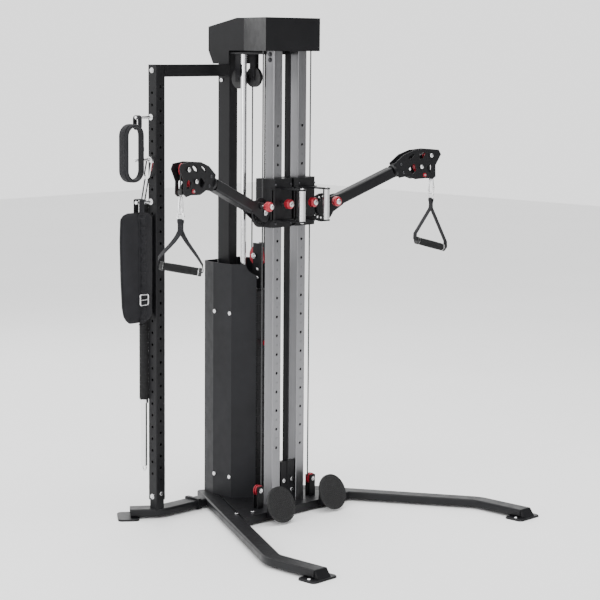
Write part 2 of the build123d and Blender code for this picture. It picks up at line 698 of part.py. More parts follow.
for side, sign in (("left", -1), ("right", 1)):
    centre_x = sign * CAR_C[0]
    column_x = sign * COLUMN_X
    column_y = FRONT_Y + TUBE / 2
    disc_plane = arm_plane(sign)
    front_amount = sign

    # Carriage: welded box around the column, two shelves for the pull handle, and the index disc.
    with BuildPart() as carriage:
        with BuildSketch(Plane.XY.offset(CAR_Z[0])):
            with Locations((centre_x, CAR_C[1])):
                Rectangle(CAR_SIZE[0], CAR_SIZE[1])
        extrude(amount=CAR_Z[1] - CAR_Z[0])
        outer_edges = carriage.edges().filter_by(Axis.Z).group_by(Axis.Y)[0]
        chamfer(outer_edges, CAR_CHAMFER)
        inside = Plane((centre_x, CAR_C[1], CAR_Z[0] + CAR_WALL))
        inside_size = (CAR_SIZE[0] - 2 * CAR_WALL, CAR_SIZE[1] - 2 * CAR_WALL)
        block(inside, *inside_size, CAR_Z[1] - CAR_Z[0] - 2 * CAR_WALL, 10, mode=Mode.SUBTRACT)
        for z in SHELF_Z:
            low = z - SHELF_T / 2
            block(Plane((centre_x, CAR_C[1] - 4, low)), CAR_SIZE[0] + 3, CAR_SIZE[1] + 4, SHELF_T, 12)
            tongue = Plane((column_x, (HANDLE_Y + CAR_Y[0]) / 2, low))
            block(tongue, SHELF_W, CAR_Y[0] - HANDLE_Y + 10, SHELF_T)
            round_bar(Plane((column_x, HANDLE_Y, low)), SHELF_W / 2, SHELF_T)
        sleeve = Plane((column_x, column_y, CAR_Z[0]))
        block(sleeve, TUBE + 1, TUBE + 1, CAR_Z[1] - CAR_Z[0], mode=Mode.SUBTRACT)
        round_bar(disc_plane.offset(-front_amount * DISC_T / 2), DISC_R, front_amount * DISC_T)
        hub_half = CLEVIS_W - GAP
        round_bar(disc_plane.offset(-front_amount * hub_half), HUB_R, front_amount * 2 * hub_half)
        tilt_axle = disc_plane.offset(-front_amount * (CLEVIS_W + 23))
        round_bar(tilt_axle, TILT_AXLE_R, front_amount * (2 * CLEVIS_W + 31))
        block(Plane((centre_x - sign * 10, CAR_C[1], CAR_Z[0] + 5)), CAR_SIZE[0] - 14, CAR_SIZE[1] - 12,
              SHELF_Z[0] - CAR_Z[0] - 9, mode=Mode.SUBTRACT)
        block(Plane((centre_x, CAR_C[1], SHELF_Z[0] + 3)), CAR_SIZE[0] - 10, CAR_SIZE[1] - 12,
              SHELF_Z[1] - SHELF_Z[0] - 6, mode=Mode.SUBTRACT)
        for k in range(16):
            angle = radians(DISC_STEP * k) + PIN_ANGLE
            hole = arm_plane(sign, u=DISC_RING * cos(angle), v=DISC_RING * sin(angle), w=-20)
            if hole.origin.X * sign > CAR_X[1] + 14:
                round_bar(hole, HOLE_R, front_amount * 40, mode=Mode.SUBTRACT)
        pin_plane = Plane((column_x, CAR_Y[0] - 3.5, PIN_Z), x_dir=(1, 0, 0), z_dir=(0, 1, 0))
        round_bar(pin_plane, PIN_BARREL_R, 8.5)
        round_bar(pin_plane, PIN_SHAFT_R + 0.3, 30, mode=Mode.SUBTRACT)
    save(carriage, f"{side}_carriage")

    # Pull handle between the shelves.
    with BuildPart() as pull_handle:
        round_bar(Plane((column_x, HANDLE_Y, SHELF_Z[0] + 3.1)), HANDLE_R, SHELF_Z[1] - SHELF_Z[0] - 6.2)
    save(pull_handle, f"{side}_pull_handle")

    # Height pin: spring pin with its knob in front of the carriage, drawn pulled clear of the column.
    with BuildPart() as height_pin:
        start = Plane((column_x, FRONT_Y + 9, PIN_Z), x_dir=(1, 0, 0), z_dir=(0, -1, 0))
        round_bar(start.offset(HEIGHT_PIN_BACK), PIN_SHAFT_R, 60 - HEIGHT_PIN_BACK)
        round_bar(start.offset(57.5), KNOB_COLLAR_R, 8)
        round_bar(start.offset(65), KNOB_R, KNOB_L)
        round_bar(start.offset(91), 11, 5)
        knob_edges = height_pin.edges().filter_by(GeomType.CIRCLE).filter_by(lambda e: e.radius > 20)
        fillet(knob_edges, KNOB_FILLET)
    save(height_pin, f"{side}_height_pin")

    # Arm: square tube with a clevis over the disc and the barrel of the angle pin.
    with BuildPart() as arm:
        block(arm_end_plane(sign, 58), ARM_W, ARM_W, ARM_END - 58, 8)
        inner_w = ARM_W - 2 * WALL
        block(arm_end_plane(sign, 58), inner_w, inner_w, ARM_END - 58 - 6, 5, mode=Mode.SUBTRACT)
        pocket = arm_plane(sign, w=-(CLEVIS_W - GAP / 2))
        round_bar(pocket, DISC_R + 6, front_amount * (2 * CLEVIS_W - GAP), mode=Mode.SUBTRACT)
        pin_u, pin_v = DISC_RING * cos(PIN_ANGLE), DISC_RING * sin(PIN_ANGLE)
        for w in (-CLEVIS_W - CLEVIS_T, CLEVIS_W):
            cheek = arm_plane(sign, w=w)
            round_bar(cheek, CLEVIS_R, front_amount * CLEVIS_T)
            taper = ((0, -CLEVIS_R), (96, -ARM_W / 2), (96, ARM_W / 2), (0, CLEVIS_R))
            prism(taper, cheek, front_amount * CLEVIS_T)
            round_bar(arm_plane(sign, u=pin_u, v=pin_v, w=w), 17, front_amount * CLEVIS_T)
        barrel = arm_plane(sign, u=pin_u, v=pin_v, w=CLEVIS_W)
        round_bar(barrel, PIN_BARREL_R, front_amount * 12.5)
        round_bar(arm_plane(sign, w=-60), TILT_AXLE_R + 0.3, front_amount * 120, mode=Mode.SUBTRACT)
        bore = arm_plane(sign, u=pin_u, v=pin_v, w=-30)
        round_bar(bore, PIN_SHAFT_R + 0.3, front_amount * 90, mode=Mode.SUBTRACT)
        round_bar(arm_end_plane(sign, ARM_END - 20), SPINDLE_R + 0.06, 30, mode=Mode.SUBTRACT)
    save(arm, f"{side}_arm")

    with BuildPart() as angle_pin:
        start = arm_plane(sign, u=pin_u, v=pin_v, w=-7)
        shank = start.offset(front_amount * ANGLE_PIN_BACK)
        round_bar(shank, PIN_SHAFT_R, front_amount * (60 - ANGLE_PIN_BACK))
        round_bar(start.offset(front_amount * 52), KNOB_COLLAR_R, front_amount * 8)
        round_bar(start.offset(front_amount * 60), KNOB_R, front_amount * KNOB_L)
        round_bar(start.offset(front_amount * 86), 11, front_amount * 10)
        knob_edges = angle_pin.edges().filter_by(GeomType.CIRCLE).filter_by(lambda e: e.radius > 20)
        fillet(knob_edges, KNOB_FILLET)
    save(angle_pin, f"{side}_angle_pin")

    # Carriage pulley, behind the clevis and in line with the tilt axis.
    with BuildPart() as carriage_pulley:
        wheel(arm_plane(sign, w=-CLEVIS_W - 13), HEAD_R, 14, bore_r=TILT_AXLE_R + 0.06)
    save(carriage_pulley, f"{side}_carriage_pulley")

    # Pulley head: two cheeks and a spindle that turns in the end of the arm.
    with BuildPart() as head:
        for w in (-CHEEK_W - CHEEK_T, CHEEK_W):
            cheek = arm_plane(sign, w=w)
            prism(CHEEK, cheek, front_amount * CHEEK_T)
        round_bar(arm_end_plane(sign, HEAD_U - 40), SPINDLE_R, 60)
        round_bar(arm_end_plane(sign, HEAD_U), 29, 14)
        block(arm_end_plane(sign, HEAD_U + 13), 2 * CHEEK_W + 2, 60, 10)
        for u, v in (PULLEY_A, PULLEY_B):
            axle_plane = arm_plane(sign, u=u, v=v, w=-CHEEK_W - CHEEK_T - 5)
            round_bar(axle_plane, AXLE_R, front_amount * (2 * CHEEK_W + 18))
        for w in (-CHEEK_W - CHEEK_T, CHEEK_W):
            for window in WINDOWS:
                prism(window, arm_plane(sign, w=w), front_amount * CHEEK_T, mode=Mode.SUBTRACT)
    save(head, f"{side}_head")

    for name, (u, v) in (("outer", PULLEY_A), ("inner", PULLEY_B)):
        with BuildPart() as head_pulley:
            wheel(arm_plane(sign, u=u, v=v), HEAD_R, 16)
        save(head_pulley, f"{side}_{name}_pulley")

    # Hanging side of the cable: cable end, ball stop, carabiner and ring, in line below the outer pulley.
    axle = arm_plane(sign, u=PULLEY_A[0], v=PULLEY_A[1]).origin
    hang_x = axle.X + sign * cos(YAW) * HEAD_R
    hang_y = axle.Y - sin(YAW) * HEAD_R
    with BuildPart() as hook:
        round_bar(Plane((hang_x, hang_y, 1430)), CABLE_R, axle.Z - 1430)
        with Locations((hang_x, hang_y, 1446)):
            Sphere(BALL_R)
        hook_plane = Plane(
            (hang_x, hang_y, 1399),
            x_dir=(cos(YAW), -sign * sin(YAW), 0),
            z_dir=(sign * sin(YAW), cos(YAW), 0),
        )
        with BuildSketch(hook_plane.offset(-4.5)) as loop:
            RectangleRounded(34, 74, 16.9)
            RectangleRounded(17, 57, 8.4, mode=Mode.SUBTRACT)
        extrude(loop.sketch, amount=9)
        with Locations((hang_x, hang_y, 1351)):
            Torus(RING_R, RING_WIRE, rotation=(90, 0, 90 - sign * ARM_YAW))
    save(hook, f"{side}_hook")

    # Handle: webbing folded through the ring, spread to both ends of the grip.
    grip_dir = Vector(sign * cos(YAW), -sin(YAW), 0).rotate(Axis.Z, STRAP_TURN[side] * sign)
    grip_z = GRIP_Z[side]
    fall = tan(radians(GRIP_TILT[side]))
    grip_mid = Vector(hang_x, hang_y, grip_z)
    ends = [grip_mid + grip_dir * (k * GRIP_HALF) - Vector(0, 0, k * GRIP_HALF * fall) for k in (-1, 1)]
    side_dir = Vector(0, 0, 1).cross(grip_dir)
    strap_plane = Plane(origin=(hang_x, hang_y, 0), x_dir=grip_dir, z_dir=side_dir)
    with BuildPart() as strap:
        flip = 1 if strap_plane.y_dir.Z > 0 else -1
        for k in (-1, 1):
            foot_z = grip_z - k * GRIP_HALF * fall
            outline = (
                (0, flip * STRAP_TOP_Z),
                (k * 8, flip * STRAP_TOP_Z),
                (k * 91, flip * (foot_z + 14)),
                (k * 91, flip * (foot_z - 4)),
                (k * 86, flip * (foot_z - 4)),
                (k * 86, flip * (foot_z + 4)),
                (0, flip * (STRAP_TOP_Z - 12)),
            )
            prism(outline, strap_plane.offset(-STRAP_W / 2), STRAP_W)
    save(strap, f"{side}_handle_strap")
    with BuildPart() as grip:
        axis_dir = (ends[1] - ends[0]).normalized()
        grip_length = (ends[1] - ends[0]).length
        round_bar(Plane(origin=ends[0] + axis_dir * 8, z_dir=axis_dir), GRIP_R, grip_length - 16)
        round_bar(Plane(origin=ends[0], z_dir=axis_dir), 6, grip_length)
    save(grip, f"{side}_handle_grip")

# ---------------------------------------------------------------- accessories on the post
POST_LEFT = POST_X - TUBE / 2
ACC_Y = POST_Y + TUBE / 2
PEG_R = 5.7
PEG_Z = (1720.0, 1542.2, 1364.4)
PEG_END = (-582.0, -588.0, -582.0)
with BuildPart() as pegs:
    for z, end in zip(PEG_Z, PEG_END):
        start = POST_LEFT + 8 if z != PEG_Z[1] else POST_LEFT - 0.1
        with Locations(((start + end) / 2, ACC_Y, z)):
            Cylinder(PEG_R, start - end, rotation=(0, 90, 0))
        with Locations((end, ACC_Y, z)):
            Sphere(9)
        with Locations((POST_LEFT - 4.1, ACC_Y, z)):
            Cylinder(13, 8, rotation=(0, 90, 0))
save(pegs, "accessory_pegs")

# Ankle cuff: a padded loop that hangs by its webbing loop from the upper peg.
CUFF_X, CUFF_Z = -636.0, 1575.0
CUFF_Y = ACC_Y - 36.0
CUFF_LOOP_X = -589.0
with BuildPart() as cuff:
    with BuildSketch(Plane.XZ.offset(-CUFF_Y - 28)):
        with Locations((CUFF_X, CUFF_Z)):
            RectangleRounded(110, 244, 50)
            RectangleRounded(78, 212, 36, mode=Mode.SUBTRACT)
    extrude(amount=56)
    with BuildSketch(Plane.YZ.offset(CUFF_LOOP_X)):
        with Locations((ACC_Y, PEG_Z[0] - 21)):
            RectangleRounded(34, 62, 15)
            RectangleRounded(28, 56, 12, mode=Mode.SUBTRACT)
    extrude(amount=24)
    with Locations((CUFF_LOOP_X - 4, ACC_Y - 12, PEG_Z[0] - 48)):
        Box(30, 10, 8)
save(cuff, "ankle_cuff")

# Long lat bar: hangs behind the belt from the middle peg by two links, one end up.
BAR_X, BAR_Y = -502.0, ACC_Y + 46.0
BAR_R = 13.5
BAR_GRIP_R = 20.5
LINK_LEAN = 14.2
LINKS = ((35.0, 44.0, 96.0, 20.0), (131.0, 26.0, 108.0, 12.9))
LINK_WIRE = 6.0
with BuildPart() as long_bar:
    for distance, width, length, corner in LINKS:
        link_y = ACC_Y + distance * sin(radians(LINK_LEAN))
        link_z = PEG_Z[1] - distance * cos(radians(LINK_LEAN))
        with BuildSketch(Plane.YZ.offset(BAR_X - 12)) as link:
            with Locations((link_y, link_z)):
                RectangleRounded(width, length, corner, rotation=LINK_LEAN)
                RectangleRounded(
                    width - 2 * LINK_WIRE,
                    length - 2 * LINK_WIRE,
                    corner - LINK_WIRE,
                    rotation=LINK_LEAN,
                    mode=Mode.SUBTRACT,
                )
        extrude(link.sketch, amount=8)
    round_bar(Plane((BAR_X, BAR_Y, 1340)), 12, 30)
    round_bar(Plane((BAR_X, BAR_Y, 500)), 19, 15)
    round_bar(Plane((BAR_X, BAR_Y, 226)), BAR_R, 290)
    with Locations((BAR_X, BAR_Y, 216)):
        Torus(10, 3.5, rotation=(0, 90, 0))
save(long_bar, "long_bar")

with BuildPart() as long_bar_grip:
    round_bar(Plane((BAR_X, BAR_Y, 516)), BAR_GRIP_R, 836)
    round_bar(Plane((BAR_X, BAR_Y, 515)), BAR_R + 0.2, 2, mode=Mode.SUBTRACT)
    round_bar(Plane((BAR_X, BAR_Y, 1339)), 12.2, 30, mode=Mode.SUBTRACT)
save(long_bar_grip, "long_bar_grip")

# Hip belt: a wide padded panel under the lower peg, on a webbing loop.
BELT_T = 34.0
BELT_Y = ACC_Y - BELT_T / 2
BELT_X = -583.0
BELT = ((-90, 1300), (-52, 1322), (52, 1322), (86, 1300), (82, 870), (50, 858), (-40, 858), (-72, 880))
with BuildPart() as belt:
    prism([(BELT_X + x, z) for x, z in BELT], Plane.XZ.offset(-BELT_Y - BELT_T), BELT_T)
    with BuildSketch(Plane.YZ.offset(BELT_X)):
        with Locations((ACC_Y, 1346)):
            RectangleRounded(40, 68, 8)
            RectangleRounded(34, 62, 5, mode=Mode.SUBTRACT)
    extrude(amount=27)
save(belt, "hip_belt")

# ---------------------------------------------------------------- fasteners
BOLT_R, BOLT_H = 9.0, 5.0
BOLTS = [
    ((25, FRONT_Y + 3, 141), (0, -1, 0)),
    ((25, FRONT_Y + 3, 95), (0, -1, 0)),
    ((-25, FRONT_Y + 3, 141), (0, -1, 0)),
    ((-25, FRONT_Y + 3, 95), (0, -1, 0)),
    ((-TUBE / 2, UPRIGHT_Y + 49, 1870), (-1, 0, 0)),
    ((TUBE / 2, UPRIGHT_Y + 49, 1870), (1, 0, 0)),
    ((POST_X, POST_Y, 109), (0, -1, 0)),
]
for sign in (-1, 1):
    BOLTS.append(((sign * 300, FRONT_Y + 11, DECK_Z), (0, 0, 1)))
    BOLTS.append(((sign * 229, FRONT_Y - 15, DECK_Z), (0, 0, 1)))
    for y in (230, 325):
        for z in (137, 863):
            BOLTS.append(((sign * 131, FRONT_Y + y, z), (sign, 0, 0)))
with BuildPart() as fasteners:
    for centre, direction in BOLTS:
        round_bar(Plane(origin=centre, z_dir=direction), BOLT_R, BOLT_H)
    fillet(fasteners.edges().filter_by(GeomType.CIRCLE), 1.5)
save(fasteners, "fasteners")
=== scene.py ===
"""Looks of the functional trainer: materials, soft goods, hardware details, light and camera."""
import json
import math

import bmesh
import bpy
from mathutils import Matrix, Vector


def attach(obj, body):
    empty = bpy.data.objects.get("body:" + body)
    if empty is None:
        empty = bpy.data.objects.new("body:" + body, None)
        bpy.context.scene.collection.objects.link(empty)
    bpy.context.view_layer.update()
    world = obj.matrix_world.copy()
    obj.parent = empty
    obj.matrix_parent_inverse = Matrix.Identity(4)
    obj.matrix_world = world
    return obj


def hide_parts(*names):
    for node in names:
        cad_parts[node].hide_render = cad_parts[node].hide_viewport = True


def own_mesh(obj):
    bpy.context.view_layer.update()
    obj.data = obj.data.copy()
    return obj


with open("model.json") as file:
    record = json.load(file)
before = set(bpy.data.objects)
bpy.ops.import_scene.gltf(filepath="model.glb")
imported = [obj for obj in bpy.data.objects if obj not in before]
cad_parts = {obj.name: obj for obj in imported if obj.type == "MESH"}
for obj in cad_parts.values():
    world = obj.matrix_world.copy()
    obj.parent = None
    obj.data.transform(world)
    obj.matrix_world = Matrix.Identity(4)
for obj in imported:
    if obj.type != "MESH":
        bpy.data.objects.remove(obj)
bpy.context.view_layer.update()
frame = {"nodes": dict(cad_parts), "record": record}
NODES = frame["nodes"]
MM = 0.001
FRONT_Y = 172.5
YAW, TILT = math.radians(13.3), math.radians(21)
SIDES = (("left", -1), ("right", 1))
COLUMN_X = 74.1
BAR_PEGS_Y = FRONT_Y + 301.4 + 25.4

# Places on an arm, along it and across it from its pivot.
OUTER_PULLEY = (613, -8)
INNER_PULLEY = (545, -35)
ROLLER = (549, -77)

# Edges sharper than this stay sharp.
HARD, WOVEN, RIBBED = math.radians(32), math.radians(60), math.radians(50)


# ---------------------------------------------------------------- camera
def make_camera():
    heading, pitch, roll = math.radians(46.64), math.radians(6.36), math.radians(0.46)
    level = math.cos(pitch)
    view = Vector((math.sin(heading) * level, math.cos(heading) * level, -math.sin(pitch)))
    right = Vector((math.cos(heading), -math.sin(heading), 0))
    up = right.cross(view)
    right_r = right * math.cos(roll) + up * math.sin(roll)
    up_r = up * math.cos(roll) - right * math.sin(roll)
    data = bpy.data.cameras.new("camera")
    data.lens, data.sensor_width = 110.0, 36.0
    data.shift_x, data.shift_y = -0.0153, -0.0836
    cam = bpy.data.objects.new("camera", data)
    bpy.context.scene.collection.objects.link(cam)
    rot = Matrix((right_r, up_r, -view)).transposed().to_4x4()
    cam.matrix_world = Matrix.Translation(Vector((-5.63558, -5.43862 + FRONT_Y * MM, 2.02333))) @ rot
    data.clip_start, data.clip_end = 0.5, 60
    bpy.context.scene.camera = cam


make_camera()


# ---------------------------------------------------------------- material helpers
def tint(base, factor):
    """The colour made lighter or darker, never past full brightness."""
    return tuple(min(1, c * factor) for c in base)


class Shader:
    """A Principled material with short ways to add procedural detail in metres."""

    def __init__(self, name, color, rough, metal=0.0):
        self.mat = bpy.data.materials.new(name)
        self.mat.use_nodes = True
        self.tree = self.mat.node_tree
        self.bsdf = self.tree.nodes["Principled BSDF"]
        self.bsdf.inputs["Base Color"].default_value = (*color, 1)
        self.bsdf.inputs["Roughness"].default_value = rough
        self.bsdf.inputs["Metallic"].default_value = metal
        self.coord = self.node("ShaderNodeTexCoord").outputs["Object"]
        self.normal = None

    def node(self, kind, **values):
        n = self.tree.nodes.new(kind)
        for key, value in values.items():
            setattr(n, key, value)
        return n

    def link(self, a, b):
        self.tree.links.new(a, b)

    def scaled(self, scale):
        m = self.node("ShaderNodeMapping")
        m.inputs["Scale"].default_value = scale
        self.link(self.coord, m.inputs["Vector"])
        return m.outputs["Vector"]

    def noise(self, scale, detail=3.0, rough=0.5, stretch=(1, 1, 1)):
        n = self.node("ShaderNodeTexNoise")
        n.inputs["Scale"].default_value = scale
        n.inputs["Detail"].default_value = detail
        n.inputs["Roughness"].default_value = rough
        self.link(self.scaled(stretch), n.inputs["Vector"])
        return n.outputs["Fac"]

    def cells(self, scale):
        n = self.node("ShaderNodeTexVoronoi")
        n.inputs["Scale"].default_value = scale
        self.link(self.scaled((1, 1, 1)), n.inputs["Vector"])
        return n.outputs["Distance"]

    def wave(self, scale, stretch=(1, 1, 1), distort=0.0):
        n = self.node("ShaderNodeTexWave", bands_direction="DIAGONAL")
        n.inputs["Scale"].default_value = scale
        n.inputs["Distortion"].default_value = distort
        self.link(self.scaled(stretch), n.inputs["Vector"])
        return n.outputs["Fac"]

    def spread(self, fac, low_value, high_value, from_low=0.3, from_high=0.7):
        n = self.node("ShaderNodeMapRange")
        n.inputs["From Min"].default_value = from_low
        n.inputs["From Max"].default_value = from_high
        n.inputs["To Min"].default_value = low_value
        n.inputs["To Max"].default_value = high_value
        self.link(fac, n.inputs["Value"])
        return n.outputs["Result"]

    def mix(self, fac, a, b):
        n = self.node("ShaderNodeMix", data_type="RGBA")
        n.inputs["A"].default_value = (*a, 1)
        n.inputs["B"].default_value = (*b, 1)
        self.link(fac, n.inputs["Factor"])
        return n.outputs["Result"]

    def math(self, op, a, b=0.0):
        n = self.node("ShaderNodeMath", operation=op)
        for socket, value in zip(n.inputs, (a, b)):
            if isinstance(value, (int, float)):
                socket.default_value = value
            else:
                self.link(value, socket)
        return n.outputs[0]

    def put(self, name, value):
        self.bsdf.inputs[name].default_value = value

    def color(self, socket):
        self.link(socket, self.bsdf.inputs["Base Color"])

    def rough(self, socket):
        self.link(socket, self.bsdf.inputs["Roughness"])

    def tone(self, scale, detail, dark, light):
        """Slow patches of colour between dark and light."""
        self.color(self.mix(self.spread(self.noise(scale, detail), 0, 1), dark, light))

    def round_edges(self, radius):
        n = self.node("ShaderNodeBevel", samples=4)
        n.inputs["Radius"].default_value = radius
        self.normal = n.outputs["Normal"]
        self.link(self.normal, self.bsdf.inputs["Normal"])

    def bump(self, height, distance, strength=1.0):
        n = self.node("ShaderNodeBump")
        n.inputs["Distance"].default_value = distance
        n.inputs["Strength"].default_value = strength
        self.link(height, n.inputs["Height"])
        if self.normal is not None:
            self.link(self.normal, n.inputs["Normal"])
        self.normal = n.outputs["Normal"]
        self.link(self.normal, self.bsdf.inputs["Normal"])


def powder(name, base, rough=0.42, edge=0.0012, grain=1600, depth=0.00012):
    s = Shader(name, base, rough)
    s.tone(5, 4, tint(base, 0.82), tint(base, 1.22))
    s.rough(s.spread(s.noise(24, 5, 0.6), rough - 0.06, rough + 0.09))
    s.put("Specular IOR Level", 0.2)
    s.put("Coat Weight", 0.05)
    s.put("Coat Roughness", 0.35)
    s.round_edges(edge)
    s.bump(s.noise(grain, 2, 0.5), depth, 0.55)
    return s.mat


def brushed(name, base, rough, stretch, edge=0.001, streak=1.0):
    s = Shader(name, base, rough, 1.0)
    lines = s.noise(1.0, 6, 0.62, stretch)
    s.color(s.mix(s.spread(lines, 0, 1), tint(base, 1 - 0.16 * streak), tint(base, 1.1)))
    s.rough(s.spread(lines, rough - 0.07, rough + 0.1))
    s.round_edges(edge)
    s.bump(lines, 0.00006, 0.5 * streak)
    return s.mat


def plated(name, base, rough):
    s = Shader(name, base, rough, 1.0)
    s.rough(s.spread(s.noise(60, 5, 0.65), rough, rough + 0.09))
    s.tone(18, 4, tint(base, 0.93), base)
    s.round_edges(0.0006)
    s.bump(s.noise(500, 3), 0.00002, 0.4)
    return s.mat


def moulded(name, base, rough, grain=900, depth=0.00008, coat=0.0, metal=0.0):
    s = Shader(name, base, rough, metal)
    s.tone(30, 3, tint(base, 0.85), tint(base, 1.15))
    s.rough(s.spread(s.noise(70, 4), rough - 0.05, rough + 0.08))
    s.put("Coat Weight", coat)
    s.put("Coat Roughness", 0.15)
    s.round_edges(0.0007)
    s.bump(s.noise(grain, 2), depth, 0.5)
    return s.mat


def woven(name, base, light, scale=520.0, depth=0.0005):
    s = Shader(name, base, 0.85)
    warp = s.wave(scale, distort=0.6)
    weft = s.wave(scale, stretch=(-1, 1, 1), distort=0.6)
    weave = s.math("MAXIMUM", warp, weft)
    shade = s.math("MULTIPLY", weave, s.spread(s.noise(14, 4), 0.55, 1.0))
    s.color(s.mix(shade, base, light))
    s.put("Specular IOR Level", 0.2)
    s.put("Sheen Weight", 0.06)
    s.put("Sheen Roughness", 0.5)
    s.bump(weave, depth, 0.6)
    s.bump(s.noise(90, 3), 0.0006, 0.35)
    return s.mat


def foam(name, base):
    s = Shader(name, base, 0.88)
    s.tone(60, 5, tint(base, 0.7), tint(base, 1.5))
    s.put("Specular IOR Level", 0.25)
    s.put("Sheen Weight", 0.04)
    s.bump(s.cells(900), 0.0006, 0.5)
    s.bump(s.noise(120, 4), 0.0006, 0.3)
    return s.mat


def jacket(name, base):
    s = Shader(name, base, 0.38)
    s.tone(40, 3, base, tint(base, 1.8))
    s.bump(s.wave(260), 0.0002, 0.35)
    return s.mat


BLACK = (0.006, 0.006, 0.007)
M = {
    "powder": powder("powder_black", BLACK),
    "sheet": powder("powder_sheet", (0.0085, 0.0087, 0.0105), 0.5, 0.0008),
    "brushed": brushed("brushed_column", (0.27, 0.27, 0.28), 0.34, (900, 900, 5)),
    "satin": brushed("satin_aluminium", (0.78, 0.78, 0.79), 0.3, (700, 700, 14), 0.0006, 0.6),
    "chrome": plated("chrome_plate", (0.86, 0.86, 0.87), 0.07),
    "zinc": plated("bright_zinc", (0.74, 0.74, 0.75), 0.2),
    "dark_zinc": plated("black_oxide", (0.07, 0.07, 0.075), 0.34),
    "red": moulded("red_anodised", (0.36, 0.012, 0.026), 0.3, 700, 0.00003, 0.35, 0.45),
    "red_wheel": moulded("red_wheel", (0.33, 0.014, 0.028), 0.34, 900, 0.00005, 0.2, 0.25),
    "nylon": moulded("black_nylon", (0.009, 0.009, 0.0095), 0.5),
    "rubber": moulded("rubber", (0.0095, 0.0095, 0.01), 0.68, 600, 0.00015),
    "iron": powder("plate_paint", (0.011, 0.011, 0.012), 0.55, 0.0015, 700, 0.0003),
    "webbing": woven("webbing", (0.004, 0.004, 0.005), (0.018, 0.018, 0.021)),
    "cloth": woven("pad_cloth", (0.005, 0.005, 0.006), (0.019, 0.019, 0.022), 900.0, 0.0003),
    "foam": foam("foam_grip", (0.009, 0.009, 0.0095)),
    "cable": jacket("cable_jacket", (0.011, 0.011, 0.012)),
    "mark": moulded("etched_mark", (0.12, 0.12, 0.13), 0.6),
    "thread": moulded("stitch_thread", (0.06, 0.06, 0.065), 0.8),
}

SLOT_LOOK = {
    "powder_black": "powder",
    "brushed_steel": "brushed",
    "rubber_black": "rubber",
    "sheet_black": "sheet",
    "chrome": "chrome",
    "zinc": "zinc",
    "iron_black": "iron",
    "cable_black": "cable",
    "pulley_red": "red_wheel",
    "pulley_black": "nylon",
    "knob_red": "red",
    "aluminium": "satin",
    "webbing": "webbing",
    "grip_rubber": "foam",
}
for row in frame["record"]["subparts"]:
    node = NODES[row["node"]]
    node.data.materials.clear()
    node.data.materials.append(M[SLOT_LOOK[row["material_slot"]]])
    for polygon in node.data.polygons:
        polygon.material_index = 0


# ---------------------------------------------------------------- mesh helpers
def new_object(name, verts, faces, materials, face_mats, sharp):
    mesh = bpy.data.meshes.new(name)
    mesh.from_pydata([tuple(v) for v in verts], [], faces)
    for key in materials:
        mesh.materials.append(M[key])
    mesh.polygons.foreach_set("material_index", face_mats)
    mesh.polygons.foreach_set("use_smooth", [True] * len(mesh.polygons))
    bm = bmesh.new()
    bm.from_mesh(mesh)
    bmesh.ops.recalc_face_normals(bm, faces=bm.faces)
    bm.to_mesh(mesh)
    bm.free()
    mesh.set_sharp_from_angle(angle=sharp)
    obj = bpy.data.objects.new(name, mesh)
    bpy.context.scene.collection.objects.link(obj)
    return obj


def frame_matrix(origin, axis):
    """Matrix (metres) whose Z runs along axis at an origin given in millimetres."""
    z = Vector(axis).normalized()
    hint = Vector((0.0, 0.0, 1.0))
    if abs(hint.dot(z)) > 0.95:
        hint = Vector((1, 0, 0))
    y = z.cross(hint).normalized()
    x = y.cross(z)
    rot = Matrix((x, y, z)).transposed().to_4x4()
    return Matrix.Translation(Vector(origin) * MM) @ rot


def turn(k, n):
    """Angle of step k out of n around a full turn."""
    return 2 * math.pi * k / n


